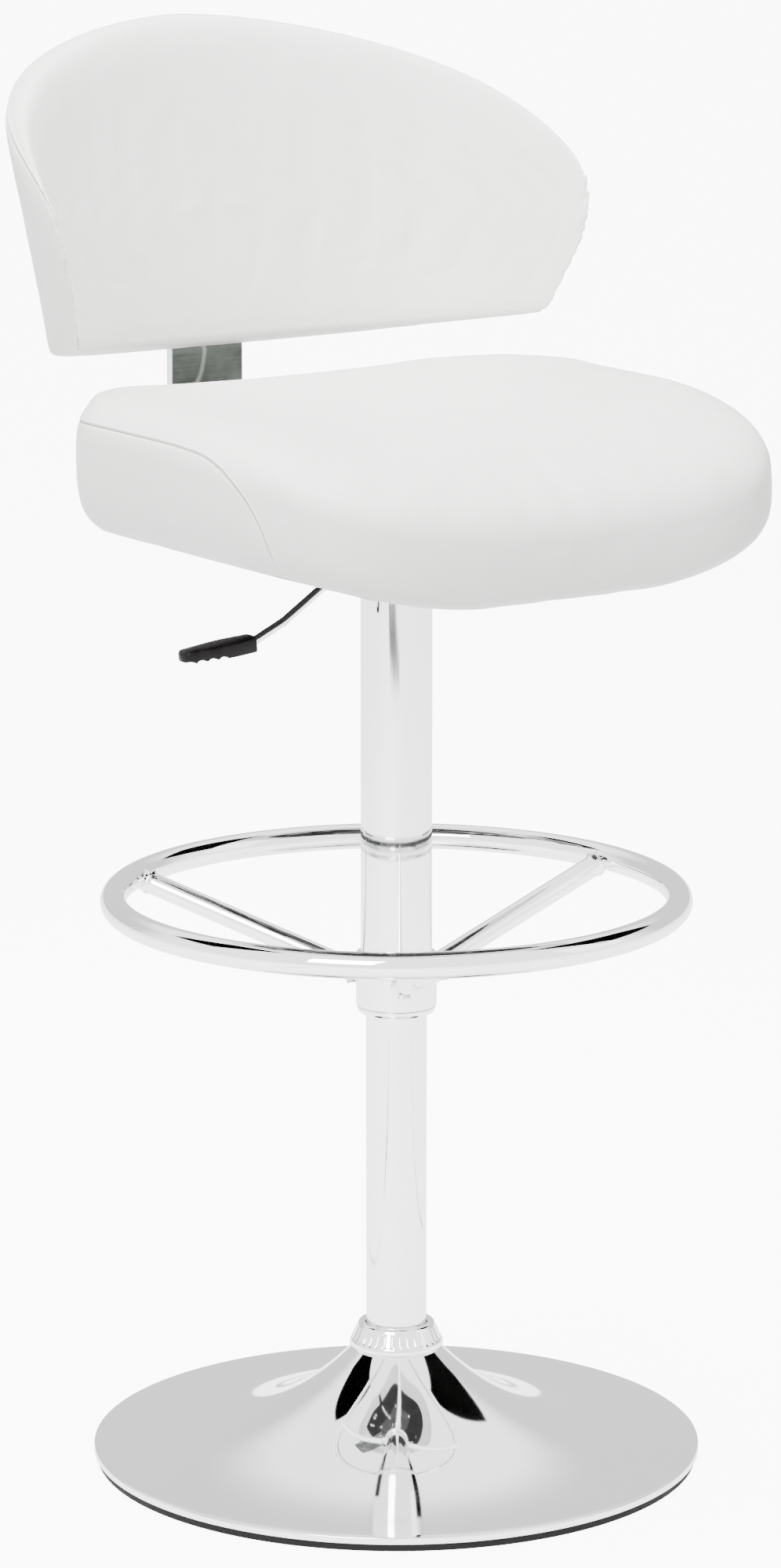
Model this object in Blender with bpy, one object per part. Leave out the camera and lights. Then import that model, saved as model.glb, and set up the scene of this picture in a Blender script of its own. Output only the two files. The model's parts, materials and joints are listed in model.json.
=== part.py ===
"""Adjustable swivel stool with a gas lift, a ring footrest and half-moon cushions.

Frame: the column's axis is Z, the floor is Z = 0 and the sitter faces -Y.
The seat is modelled at the top of its travel. All lengths are in metres.
"""

import math

import bmesh
import bpy
from mathutils import Vector

# ---------------------------------------------------------------- general
GAP = 0.0003  # left between pieces that touch
SLACK = 0.0004  # between pieces that slide or turn in each other
SHEET_SHARES = (0.66, 0.33)  # how far in from its outline each inner ring of a sheet lies
SEGMENTS = 36  # round a large turned piece
FEW_SEGMENTS = 20  # round a small turned piece

# ---------------------------------------------------------------- base
BASE_RADIUS = 0.2585
BASE_RIM_TOP = 0.0125
BASE_RIM_BOTTOM = 0.0065
SHELL_WALL = 0.0015
SHELL_NECK_RADIUS = 0.0370
SHELL_NECK_TOP = 0.0955
SHELL_CONE_RISE = 0.0130  # share of the height that rises evenly, like a shallow cone
FLARE_POWER = 3.25  # how sharply the rest turns up into the neck
BALL_COUNT = 6
BALL_CIRCLE = 0.0110
BALL_RADIUS = 0.0024
RACE_INNER = 0.0060
RACE_OUTER = 0.0160
RACE_THICKNESS = 0.0030
LOWER_RACE_BOTTOM = 0.0218
UPPER_RACE_BOTTOM = 0.0302
TUBE_FLOOR_BOTTOM = 0.0165
TUBE_FLOOR_TOP = 0.0215
PAD_RADIUS = 0.2560
PAD_LIP = 0.0085
PAD_LIP_TOP = 0.0062
PAD_THICKNESS = 0.0030
BALLAST_TOP = 0.0085
FLANGE_TOP = 0.0138
FLANGE_RADIUS = 0.0480
FLANGE_SOCKET_RADIUS = 0.0310
FLANGE_SOCKET_TOP = 0.0500
FLANGE_SCREW_CIRCLE = 0.0395
COLLAR_RADIUS = 0.0400
COLLAR_TOP_RADIUS = 0.0325
COLLAR_TOP = 0.1170
COLLAR_FLUTES = 24
COLLAR_FLUTE_DEPTH = 0.0006

# ---------------------------------------------------------------- column
LOWER_RADIUS = 0.0256
LOWER_INNER = 0.0236
LOWER_TOP = 0.5300
SLEEVE_RADIUS = 0.0300
SLEEVE_INNER = 0.0278
SLEEVE_TOP = 0.7522
HUB_RADIUS = 0.0340
HUB_BOTTOM = 0.3950
HUB_TOP = 0.4400
HUB_CAP_BOTTOM = 0.3880
BUSH_HEIGHT = 0.0340
GUIDE_HEIGHT = 0.0340
GUIDE_HOLE = 0.0210
CYLINDER_RADIUS = 0.0140
CYLINDER_BORE = 0.0120
CYLINDER_BOTTOM = 0.3900
CYLINDER_TOP = 0.7535
CYLINDER_TAPER_TOP_RADIUS = 0.0130
CYLINDER_PLUG = 0.6900  # underside of the solid head
CYLINDER_WALL = 0.0060  # thickness of its lower end
CYLINDER_NOSE_RADIUS = 0.0080
CYLINDER_NOSE = 0.0020
VALVE_WELL = 0.7350
ROD_RADIUS = 0.0050
ROD_BOTTOM = 0.0092
ROD_TOP = 0.4150
ROD_SHOULDER_RADIUS = 0.0120
ROD_SHOULDER_THICKNESS = 0.0050
ROD_CLIP_RADIUS = 0.0090
ROD_CLIP_BOTTOM = 0.0105
ROD_CLIP_TOP = 0.0155
PISTON_THICKNESS = 0.0097
SOCKET_BOTTOM = 0.7005
SOCKET_RADIUS = 0.0195

# ---------------------------------------------------------------- footrest
RING_RADIUS = 0.2375
RING_TUBE = 0.0112
RING_HEIGHT = 0.4866
RING_SIDES = 9
SPOKE_RADIUS = 0.0093
SPOKE_HUB_HEIGHT = 0.4175
SPOKE_COUNT = 3
SPOKE_FIRST = math.radians(6.0)

# ---------------------------------------------------------------- lift mechanism
CHANNEL_BOTTOM = 0.7525
CHANNEL_WALL = 0.0025
CHANNEL_LENGTH = 0.1000
CHANNEL_WIDTH = 0.0760
PLATE_BOTTOM = 0.7710
PLATE_TOP = 0.7744
PLATE_LENGTH = 0.1440  # across the sitter
PLATE_DEPTH = 0.1900
VALVE_RADIUS = 0.0030
VALVE_BOTTOM = 0.7385
VALVE_TOP = 0.7584
LEVER_PIVOT = Vector((-0.0300, 0.0, 0.7625))
LEVER_ROD = 0.0037
LEVER_EYE = 0.0058
LEVER_EYE_HALF = 0.0080
LEVER_PIN = 0.0025
LEVER_RUN = [  # the rod's middle line, outward from the pivot
    Vector((0.0250, 0.0, 0.0)),
    Vector((-0.0375, 0.0, 0.0)),
    Vector((-0.0483, 0.0, -0.0070)),
    Vector((-0.0814, 0.0, -0.0285)),
]
GRIP_START = Vector((-0.1128, 0.0, -0.0428))
GRIP_RUN = Vector((-0.0680, 0.0, -0.0058))
GRIP_HALF_WIDTH = 0.0115
GRIP_TOP = 0.0066
GRIP_BOTTOM = -0.0068
GRIP_NOTCHES = 4
GRIP_NOTCH_PITCH = 0.0105
GRIP_NOTCH_WIDTH = 0.0060
GRIP_NOTCH_LOW = -0.0062
GRIP_NOTCH_HIGH = -0.0042
ROD_INSIDE_GRIP = 0.33  # share of the grip's length that the rod fills

# ---------------------------------------------------------------- seat
SEAT_REAR = 0.1944
SEAT_FRONT = -0.2673
SEAT_REAR_HALF = 0.1664
SEAT_HALF = 0.2613
SEAT_SHOULDER = 0.1381  # from the rear edge to the widest place
SEAT_ARCH_POWER = 4.3
SEAT_UNDERSIDE = 0.7760
SEAT_THICKNESS = 0.1295
SEAT_SIDE_EDGE = 0.0232
SEAT_FRONT_EDGE = 0.0790
SEAT_SIDE_RISE = 0.0190  # of the top, at the widest place
SEAT_UNDER_RISE = 0.0443  # of the underside, at the widest place
SEAT_FLAT_HALF = 0.0750  # the underside is level this far from the middle
SEAT_WATERFALL = 0.0454  # drop of the top at the front edge
SEAT_DISH = 0.0120
SEAT_BOARD = 0.0100
SEAT_BOARD_SHARES = (0.680, 0.750)  # of the seat's outline, across and forward
SEAT_BOARD_REAR = 0.0300
DUST_COVER = 0.0010
DUST_COVER_SHARES = (0.690, 0.765)
DUST_COVER_REAR = 0.0260

# ---------------------------------------------------------------- back
BACK_FOOT = Vector((0.0, 0.2873, 0.9211))  # middle of the lower edge
BACK_RECLINE = 0.1712
BACK_WRAP = 3.51  # curvature halfway up, in 1/m
BACK_WRAP_EASE = 0.2464  # share of the wrap that is lost from the foot to the top
BACK_LOWER_HALF = 0.3000  # measured round the wrap
BACK_HALF = 0.3580
BACK_SHOULDER = 0.0971
BACK_HEIGHT = 0.2862
BACK_ARCH_POWER = 1.685
BACK_EDGE_THICKNESS = 0.0385
BACK_FRONT_CROWN = 0.0100
BACK_REAR_CROWN = 0.0120
BACK_EDGE_ROUND = 0.0120
BACK_SPLIT = -0.0050  # where the front pad meets the rear one, from the middle surface
BACK_GAP = 0.0006
BACK_BOARD = 0.0050
BACK_BOARD_INSET = 0.0250

# ---------------------------------------------------------------- back bar
BAR_HALF_WIDTH = 0.0365
BAR_THICKNESS = 0.0080
BAR_FRONT_FACE = 0.2930
BAR_START = 0.0980
BAR_TOP = 0.7744
BAR_BEND = 0.0300
BAR_REACH = 0.1500  # how far it runs up into the back


# ---------------------------------------------------------------- helpers
def clear_scene():
    for thing in list(bpy.data.objects):
        bpy.data.objects.remove(thing, do_unlink=True)


def look(name, colour, roughness, metallic):
    material = bpy.data.materials.new(name)
    material.use_nodes = True
    shader = material.node_tree.nodes["Principled BSDF"]
    shader.inputs["Base Color"].default_value = (*colour, 1.0)
    shader.inputs["Roughness"].default_value = roughness
    shader.inputs["Metallic"].default_value = metallic
    return material


def axis_at(name, place):
    """An empty that stands on a joint's axis and carries what moves about it."""
    empty = bpy.data.objects.new(name, None)
    empty.location = place
    bpy.context.collection.objects.link(empty)
    return empty


def add(name, shape, material, carrier=None, place=(0.0, 0.0, 0.0)):
    """Make an object from a bmesh given in its own coordinates."""
    bmesh.ops.recalc_face_normals(shape, faces=shape.faces)
    mesh = bpy.data.meshes.new(name)
    shape.to_mesh(mesh)
    shape.free()
    mesh.materials.append(material)
    mesh.shade_smooth()
    mesh.set_sharp_from_angle(angle=math.radians(35.0))
    piece = bpy.data.objects.new(name, mesh)
    piece.location = place
    piece.parent = carrier
    bpy.context.collection.objects.link(piece)
    return piece


def cut(piece, cutter):
    change = piece.modifiers.new("cut_" + cutter.name, "BOOLEAN")
    change.operation = "DIFFERENCE"
    change.object = cutter
    hide(cutter)


def join(piece, other):
    change = piece.modifiers.new("join_" + other.name, "BOOLEAN")
    change.operation = "UNION"
    change.object = other
    hide(other)


def hide(cutter):
    cutter.hide_render = True
    cutter.display_type = "WIRE"


def turned_shape(outline, segments):
    """Turn an outline of (radius, height) points about Z. Points on the axis become poles."""
    shape = bmesh.new()
    rings = []
    for radius, height in outline:
        if radius < GAP / 10:
            rings.append([shape.verts.new((0.0, 0.0, height))])
            continue
        ring = []
        for step in range(segments):
            angle = 2 * math.pi * step / segments
            ring.append(shape.verts.new((radius * math.cos(angle), radius * math.sin(angle), height)))
        rings.append(ring)
    for lower, upper in zip(rings, rings[1:] + rings[:1]):
        if len(lower) == 1 and len(upper) == 1:
            continue
        for step in range(segments):
            after = (step + 1) % segments
            corners = [
                lower[step % len(lower)],
                lower[after % len(lower)],
                upper[after % len(upper)],
                upper[step % len(upper)],
            ]
            shape.faces.new(list(dict.fromkeys(corners)))
    return shape


def turned(name, outline, material, carrier=None, segments=SEGMENTS, place=(0.0, 0.0, 0.0)):
    return add(name, turned_shape(outline, segments), material, carrier, place)


def tube_outline(inner, outer, low, high):
    return [(inner, low), (outer, low), (outer, high), (inner, high)]


def disc_outline(radius, low, high):
    return [(0.0, low), (radius, low), (radius, high), (0.0, high)]


def box_shape(low, high):
    shape = bmesh.new()
    bmesh.ops.create_cube(shape, size=1.0)
    middle = (Vector(low) + Vector(high)) / 2
    size = Vector(high) - Vector(low)
    bmesh.ops.scale(shape, vec=size, verts=shape.verts)
    bmesh.ops.translate(shape, vec=middle, verts=shape.verts)
    return shape


def swept_shape(path, section):
    """Sweep a closed section, given as (sideways, upward) offsets, along a path in one vertical plane."""
    shape = bmesh.new()
    rings = []
    for index, point in enumerate(path):
        before = path[max(index - 1, 0)]
        after = path[min(index + 1, len(path) - 1)]
        along_in = (point - before).normalized() if index else (after - point).normalized()
        along_out = (after - point).normalized() if index < len(path) - 1 else along_in
        along = (along_in + along_out).normalized()
        stretch = 1.0 / max(along.dot(along_out), 0.5)
        side = flat_side(path)
        up = side.cross(along).normalized()
        rings.append([shape.verts.new(point + side * a + up * (b * stretch)) for a, b in section])
    count = len(section)
    for low, high in zip(rings, rings[1:]):
        for step in range(count):
            after = (step + 1) % count
            shape.faces.new([low[step], low[after], high[after], high[step]])
    shape.faces.new(rings[0])
    shape.faces.new(rings[-1])
    return shape


def flat_side(path):
    """The level direction square to the vertical plane that holds a path."""
    run = path[-1] - path[0]
    return Vector((-run.y, run.x, 0.0)).normalized()


def round_section(radius, sides):
    turns = [2 * math.pi * (step + 0.5) / sides for step in range(sides)]
    return [(radius * math.cos(turn), radius * math.sin(turn)) for turn in turns]


def arc_points(centre, radius, start, end, steps):
    """Points on an arc in the YZ plane, with angles from +Y towards +Z."""
    points = []
    for step in range(steps + 1):
        angle = start + (end - start) * step / steps
        points.append(centre + Vector((0.0, radius * math.cos(angle), radius * math.sin(angle))))
    return points


# ---------------------------------------------------------------- cushion shapes
def half_moon(base_half, widest_half, shoulder, reach, power, base_steps=4, side_steps=5, arch_steps=11):
    """A half-moon outline as (across, up, roundness) points.

    It has a straight base at up = 0, sides that flare out to the widest place at
    up = shoulder, and an arch that closes at up = reach. Roundness goes from 0
    on the base and the lower sides to 1 on the arch.
    """
    points = []
    for step in range(base_steps):
        points.append((base_half * step / base_steps, 0.0, 0.0))
    for step in range(side_steps + 1):
        t = step / side_steps
        leave = t**3 - 2 * t**2 + t
        arrive = t**3 - t**2
        rise = -2 * t**3 + 3 * t**2
        across = base_half + (widest_half - base_half) * (rise + 1.4 * leave)
        up = shoulder * (rise + leave + arrive)
        points.append((across, up, max(0.0, (t - 0.35) / 0.65)))
    for step in range(1, arch_steps + 1):
        turn = math.pi / 2 * step / arch_steps
        across = widest_half * max(math.cos(turn), 0.0) ** (2 / power)
        up = shoulder + (reach - shoulder) * math.sin(turn) ** (2 / power)
        points.append((across, up, 1.0))
    mirrored = [(-across, up, roundness) for across, up, roundness in points[1:-1]]
    return points + mirrored[::-1]


def with_normals(outline):
    """Add each outline point's outward direction."""
    count = len(outline)
    result = []
    for index, (across, up, roundness) in enumerate(outline):
        before = outline[index - 1]
        after = outline[(index + 1) % count]
        run = Vector((after[0] - before[0], after[1] - before[1]))
        run.normalize()
        result.append((across, up, roundness, run.y, -run.x))
    return result


def inset(outline, distance):
    """Move an outline inward by the same distance all round."""
    moved = []
    for across, up, roundness, out_across, out_up in with_normals(outline):
        moved.append((across - out_across * distance, up - out_up * distance, roundness))
    return moved


def ring_towards(outline, core, share):
    """A copy of an outline drawn in towards a core point by a share of the way."""
    return [(a + (core[0] - a) * share, b + (core[1] - b) * share) for a, b, *_ in outline]


def stacked_shape(rings, place):
    """Close a stack of equal rings of (across, up, height) with a point at each end."""
    shape = bmesh.new()
    rows = []
    for ring in rings:
        rows.append([shape.verts.new(place(*corner)) for corner in ring])
    count = len(rows[1])
    for low, high in zip(rows, rows[1:]):
        for step in range(count):
            after = (step + 1) % count
            corners = [
                low[step % len(low)],
                low[after % len(low)],
                high[after % len(high)],
                high[step % len(high)],
            ]
            add_patch(shape, list(dict.fromkeys(corners)))
    return shape


def add_patch(shape, corners):
    """One triangle, or two that meet on a patch's shorter diagonal, so that nested skins bend alike."""
    if len(corners) == 3:
        shape.faces.new(corners)
        return
    a, b, c, d = corners
    if (a.co - c.co).length < (b.co - d.co).length:
        shape.faces.new([a, b, c])
        shape.faces.new([a, c, d])
    else:
        shape.faces.new([a, b, d])
        shape.faces.new([b, c, d])


def cushion_rings(outline, lower, upper, edge_depth, squareness, core, steps=6, inner=(0.25, 0.5, 0.75)):
    """Rings of a padded shape from the middle of its underside to the middle of its top.

    lower and upper give the height of each face. edge_depth and squareness say,
    for a roundness of 0 to 1, how far in the rounded edge reaches and how square it is.
    """
    points = with_normals(outline)
    edge = []
    for step in range(steps + 1):
        turn = math.pi * (step / steps - 0.5)
        ring = []
        for across, up, roundness, out_across, out_up in points:
            power = 2 / squareness(roundness)
            level = math.copysign(abs(math.sin(turn)) ** power, turn)
            drawn_in = edge_depth(roundness) * (1 - max(math.cos(turn), 0.0) ** power)
            a = across - out_across * drawn_in
            b = up - out_up * drawn_in
            middle = (lower(a, b) + upper(a, b)) / 2
            half = (upper(a, b) - lower(a, b)) / 2
            ring.append((a, b, middle + half * level))
        edge.append(ring)
    under = [[(*core, lower(*core))]]
    top = []
    for share in reversed(inner):
        under.append([(a, b, lower(a, b)) for a, b in ring_towards(edge[0], core, share)])
    for share in inner:
        top.append([(a, b, upper(a, b)) for a, b in ring_towards(edge[-1], core, share)])
    top.append([(*core, upper(*core))])
    return under, edge, top


# ---------------------------------------------------------------- base pieces
def shell_height(radius):
    """Height of the trumpet's outer face at a radius."""
    share = (BASE_RADIUS - radius) / (BASE_RADIUS - SHELL_NECK_RADIUS)
    flare_rise = SHELL_NECK_TOP - BASE_RIM_TOP - SHELL_CONE_RISE
    return BASE_RIM_TOP + SHELL_CONE_RISE * share + flare_rise * share**FLARE_POWER


def shell_steepness(radius):
    run = BASE_RADIUS - SHELL_NECK_RADIUS
    share = (BASE_RADIUS - radius) / run
    flare_rise = SHELL_NECK_TOP - BASE_RIM_TOP - SHELL_CONE_RISE
    return (SHELL_CONE_RISE + flare_rise * FLARE_POWER * share ** (FLARE_POWER - 1)) / run


def make_base_shell(material):
    shares = [1.0, 0.96, 0.91, 0.84, 0.75, 0.62, 0.44, 0.22]
    radii = [BASE_RADIUS - (BASE_RADIUS - SHELL_NECK_RADIUS) * share for share in shares]
    outer = [(radius, shell_height(radius)) for radius in radii]
    inner = []
    for radius, height in outer:
        drop = SHELL_WALL * math.sqrt(1 + shell_steepness(radius) ** 2)
        inner.append((radius, height - drop))
    wall = BASE_RADIUS - SHELL_WALL
    rim = [
        (BASE_RADIUS - SHELL_WALL, BASE_RIM_TOP),
        (BASE_RADIUS, BASE_RIM_TOP - SHELL_WALL),
        (BASE_RADIUS, BASE_RIM_BOTTOM),
        (wall, BASE_RIM_BOTTOM),
        (wall, BASE_RIM_TOP - 1.2 * SHELL_WALL),
    ]
    turned("base_shell", outer + rim + inner[::-1], material)


def make_base(looks):
    make_base_shell(looks["chrome"])
    pad = [
        (0.0, 0.0),
        (PAD_RADIUS, 0.0),
        (PAD_RADIUS, PAD_LIP_TOP),
        (PAD_RADIUS - PAD_LIP, PAD_LIP_TOP),
        (PAD_RADIUS - PAD_LIP, PAD_THICKNESS),
        (0.0, PAD_THICKNESS),
    ]
    turned("floor_pad", pad, looks["rubber"])
    ballast = disc_outline(PAD_RADIUS - PAD_LIP - GAP, PAD_THICKNESS + GAP, BALLAST_TOP)
    turned("ballast_plate", ballast, looks["iron"])

    flange_inner = LOWER_RADIUS + GAP
    flange_low = BALLAST_TOP + GAP
    flange = [
        (flange_inner, flange_low),
        (FLANGE_RADIUS, flange_low),
        (FLANGE_RADIUS, FLANGE_TOP),
        (FLANGE_SOCKET_RADIUS, FLANGE_TOP),
        (FLANGE_SOCKET_RADIUS, FLANGE_SOCKET_TOP),
        (flange_inner, FLANGE_SOCKET_TOP),
    ]
    turned("column_flange", flange, looks["steel"])
    make_screws("flange_screw", ring_places(FLANGE_SCREW_CIRCLE, 4, FLANGE_TOP + GAP), 0.0050, 0.0035, looks["steel"])

    turned("lower_tube", tube_outline(LOWER_INNER, LOWER_RADIUS, FLANGE_TOP + SLACK, LOWER_TOP), looks["chrome"])
    floor = tube_outline(ROD_RADIUS + SLACK, LOWER_INNER - GAP, TUBE_FLOOR_BOTTOM, TUBE_FLOOR_TOP)
    turned("tube_floor", floor, looks["steel"], segments=FEW_SEGMENTS)
    make_collar(looks["chrome"])

    guide_outer = SLEEVE_INNER - SLACK
    guide = [
        (LOWER_RADIUS + GAP, LOWER_TOP - GUIDE_HEIGHT),
        (guide_outer, LOWER_TOP - GUIDE_HEIGHT),
        (guide_outer, LOWER_TOP + 0.0040),
        (GUIDE_HOLE, LOWER_TOP + 0.0040),
        (GUIDE_HOLE, LOWER_TOP + GAP),
        (LOWER_RADIUS + GAP, LOWER_TOP + GAP),
    ]
    turned("top_guide", guide, looks["nylon"])


def make_collar(material):
    """A tapered ring over the trumpet's neck, with upright flutes between two plain bands."""
    low = SHELL_NECK_TOP + GAP
    inner = LOWER_RADIUS + GAP
    levels = [
        (inner, low, 0.0),
        (COLLAR_RADIUS - 0.0006, low, 0.0),
        (COLLAR_RADIUS, low + 0.0010, 0.0),
        (COLLAR_RADIUS - 0.0012, low + 0.0055, 0.0),
        (COLLAR_RADIUS - 0.0016, low + 0.0065, COLLAR_FLUTE_DEPTH),
        (COLLAR_TOP_RADIUS + 0.0012, COLLAR_TOP - 0.0050, COLLAR_FLUTE_DEPTH),
        (COLLAR_TOP_RADIUS, COLLAR_TOP - 0.0030, 0.0),
        (COLLAR_TOP_RADIUS - 0.0030, COLLAR_TOP, 0.0),
        (inner, COLLAR_TOP, 0.0),
    ]
    segments = 2 * COLLAR_FLUTES
    shape = bmesh.new()
    rings = []
    for radius, height, depth in levels:
        ring = []
        for step in range(segments):
            angle = 2 * math.pi * step / segments
            reach = radius - depth * (step % 2)
            ring.append(shape.verts.new((reach * math.cos(angle), reach * math.sin(angle), height)))
        rings.append(ring)
    for below, above in zip(rings, rings[1:] + rings[:1]):
        for step in range(segments):
            after = (step + 1) % segments
            shape.faces.new([below[step], below[after], above[after], above[step]])
    add("base_collar", shape, material)


def ring_places(radius, count, height, first=math.pi / 4):
    turns = [first + 2 * math.pi * step / count for step in range(count)]
    return [Vector((radius * math.cos(turn), radius * math.sin(turn), height)) for turn in turns]


def make_screws(name, places, radius, height, material, carrier=None):
    """Button heads, one at each place. A negative height hangs the head below its place."""
    outline = disc_outline(radius, min(height, 0.0), max(height, 0.0))
    for index, place in enumerate(places):
        turned(f"{name}_{index + 1}", outline, material, carrier, 12, place)


# ---------------------------------------------------------------- turning pieces
def race_outline(bottom):
    return tube_outline(RACE_INNER, RACE_OUTER, bottom, bottom + RACE_THICKNESS)


def make_bearing(looks, swivel):
    turned("bearing_lower_race", race_outline(LOWER_RACE_BOTTOM), looks["steel"], segments=FEW_SEGMENTS)
    middle = (LOWER_RACE_BOTTOM + RACE_THICKNESS + UPPER_RACE_BOTTOM) / 2
    for index, place in enumerate(ring_places(BALL_CIRCLE, BALL_COUNT, middle, 0.0)):
        ball = bmesh.new()
        bmesh.ops.create_icosphere(ball, subdivisions=2, radius=BALL_RADIUS)
        add(f"bearing_ball_{index + 1}", ball, looks["steel"], None, place)
    turned("bearing_upper_race", race_outline(UPPER_RACE_BOTTOM), looks["steel"], swivel, FEW_SEGMENTS)


def make_rod(looks, swivel):
    shoulder_low = UPPER_RACE_BOTTOM + RACE_THICKNESS + GAP
    shoulder_high = shoulder_low + ROD_SHOULDER_THICKNESS
    rod = [
        (0.0, ROD_BOTTOM),
        (ROD_RADIUS, ROD_BOTTOM),
        (ROD_RADIUS, shoulder_low),
        (ROD_SHOULDER_RADIUS, shoulder_low),
        (ROD_SHOULDER_RADIUS, shoulder_high),
        (ROD_RADIUS, shoulder_high),
        (ROD_RADIUS, ROD_TOP),
        (0.0, ROD_TOP),
    ]
    turned("piston_rod", rod, looks["steel"], swivel, FEW_SEGMENTS)
    clip = tube_outline(ROD_RADIUS + GAP, ROD_CLIP_RADIUS, ROD_CLIP_BOTTOM, ROD_CLIP_TOP)
    turned("rod_clip", clip, looks["steel"], swivel, FEW_SEGMENTS)
    piston_bottom = ROD_TOP + GAP
    piston = disc_outline(CYLINDER_BORE - SLACK, piston_bottom, piston_bottom + PISTON_THICKNESS)
    turned("piston", piston, looks["nylon"], swivel, FEW_SEGMENTS)


# ---------------------------------------------------------------- lifted column pieces
def make_lifted_column(looks, lift):
    valve_hole = VALVE_RADIUS + SLACK
    rod_hole = ROD_RADIUS + SLACK
    shoulder = CYLINDER_TOP - CYLINDER_NOSE
    cylinder = [
        (rod_hole, CYLINDER_BOTTOM),
        (CYLINDER_RADIUS, CYLINDER_BOTTOM),
        (CYLINDER_RADIUS, SOCKET_BOTTOM - 0.0010),
        (CYLINDER_TAPER_TOP_RADIUS, shoulder),
        (CYLINDER_NOSE_RADIUS, shoulder),
        (CYLINDER_NOSE_RADIUS, CYLINDER_TOP),
        (valve_hole, CYLINDER_TOP),
        (valve_hole, VALVE_WELL),
        (0.0, VALVE_WELL),
        (0.0, CYLINDER_PLUG),
        (CYLINDER_BORE, CYLINDER_PLUG),
        (CYLINDER_BORE, CYLINDER_BOTTOM + CYLINDER_WALL),
        (rod_hole, CYLINDER_BOTTOM + CYLINDER_WALL),
    ]
    turned("gas_cylinder", cylinder, looks["black_steel"], lift, FEW_SEGMENTS)

    sleeve = tube_outline(SLEEVE_INNER, SLEEVE_RADIUS, HUB_BOTTOM + GAP, SLEEVE_TOP)
    turned("sleeve_tube", sleeve, looks["chrome"], lift)
    bush = tube_outline(LOWER_RADIUS + SLACK, SLEEVE_INNER - GAP, HUB_BOTTOM + GAP, HUB_BOTTOM + BUSH_HEIGHT)
    turned("sleeve_bush", bush, looks["nylon"], lift)

    hub = tube_outline(SLEEVE_RADIUS + GAP, HUB_RADIUS, HUB_BOTTOM, HUB_TOP)
    turned("footrest_hub", hub, looks["chrome"], lift)
    cap_top = HUB_BOTTOM - GAP
    cap = [
        (LOWER_RADIUS + SLACK, HUB_CAP_BOTTOM),
        (HUB_RADIUS - 0.0060, HUB_CAP_BOTTOM),
        (HUB_RADIUS - 0.0020, HUB_CAP_BOTTOM + 0.0020),
        (HUB_RADIUS - 0.0005, cap_top),
        (LOWER_RADIUS + SLACK, cap_top),
    ]
    turned("hub_end_cap", cap, looks["chrome"], lift)

    top_radius = CYLINDER_TAPER_TOP_RADIUS + GAP
    socket = [
        (CYLINDER_RADIUS + GAP, SOCKET_BOTTOM),
        (SOCKET_RADIUS, SOCKET_BOTTOM),
        (SOCKET_RADIUS, SLEEVE_TOP),
        (top_radius, SLEEVE_TOP),
    ]
    turned("taper_socket", socket, looks["steel"], lift, FEW_SEGMENTS)


def torus_shape(tube, sides):
    outline = []
    for step in range(sides):
        turn = 2 * math.pi * step / sides
        outline.append((RING_RADIUS + tube * math.cos(turn), RING_HEIGHT + tube * math.sin(turn)))
    return turned_shape(outline, 44)


def make_footrest(looks, lift):
    add("footrest_ring", torus_shape(RING_TUBE, RING_SIDES), looks["chrome"], lift)
    ring_cutter = add("ring_clearance", torus_shape(RING_TUBE + GAP, RING_SIDES), looks["chrome"], lift)
    hub_outline = disc_outline(HUB_RADIUS + GAP, HUB_BOTTOM - 0.02, HUB_TOP + 0.02)
    hub_cutter = turned("hub_clearance", hub_outline, looks["chrome"], lift)
    for index in range(SPOKE_COUNT):
        turn = SPOKE_FIRST + 2 * math.pi * index / SPOKE_COUNT
        out = Vector((math.cos(turn), math.sin(turn), 0.0))
        rise = Vector((0.0, 0.0, 1.0))
        start = out * SLEEVE_RADIUS + rise * SPOKE_HUB_HEIGHT
        end = out * RING_RADIUS + rise * RING_HEIGHT
        rod = swept_shape([start, end], round_section(SPOKE_RADIUS, 12))
        spoke = add(f"footrest_spoke_{index + 1}", rod, looks["chrome"], lift)
        cut(spoke, hub_cutter)
        cut(spoke, ring_cutter)


# ---------------------------------------------------------------- seat mechanism
def make_channel(looks, lift):
    half_length = CHANNEL_LENGTH / 2
    half_width = CHANNEL_WIDTH / 2
    top = PLATE_BOTTOM - GAP
    floor_top = CHANNEL_BOTTOM + CHANNEL_WALL
    body = box_shape((-half_length, -half_width, CHANNEL_BOTTOM), (half_length, half_width, top))
    channel = add("mechanism_channel", body, looks["black_steel"], lift)
    inside = half_width - CHANNEL_WALL
    hollow = box_shape((-half_length - 0.01, -inside, floor_top), (half_length + 0.01, inside, top + 0.01))
    cut(channel, add("channel_hollow", hollow, looks["steel"], lift))
    hole = disc_outline(CYLINDER_TAPER_TOP_RADIUS + 0.0006, CHANNEL_BOTTOM - 0.01, floor_top + 0.002)
    cut(channel, turned("channel_hole", hole, looks["steel"], lift, FEW_SEGMENTS))
    pin_hole = cross_rod(LEVER_PIN + GAP, half_width + 0.01, LEVER_PIVOT)
    cut(channel, add("pin_holes", pin_hole, looks["steel"], lift))
    pin = cross_rod(LEVER_PIN, half_width + 0.0015, LEVER_PIVOT)
    add("lever_pivot", pin, looks["steel"], lift)


def cross_rod(radius, half_length, middle):
    """A rod along Y through a point."""
    reach = Vector((0.0, half_length, 0.0))
    return swept_shape([middle - reach, middle + reach], round_section(radius, 12))


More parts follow.
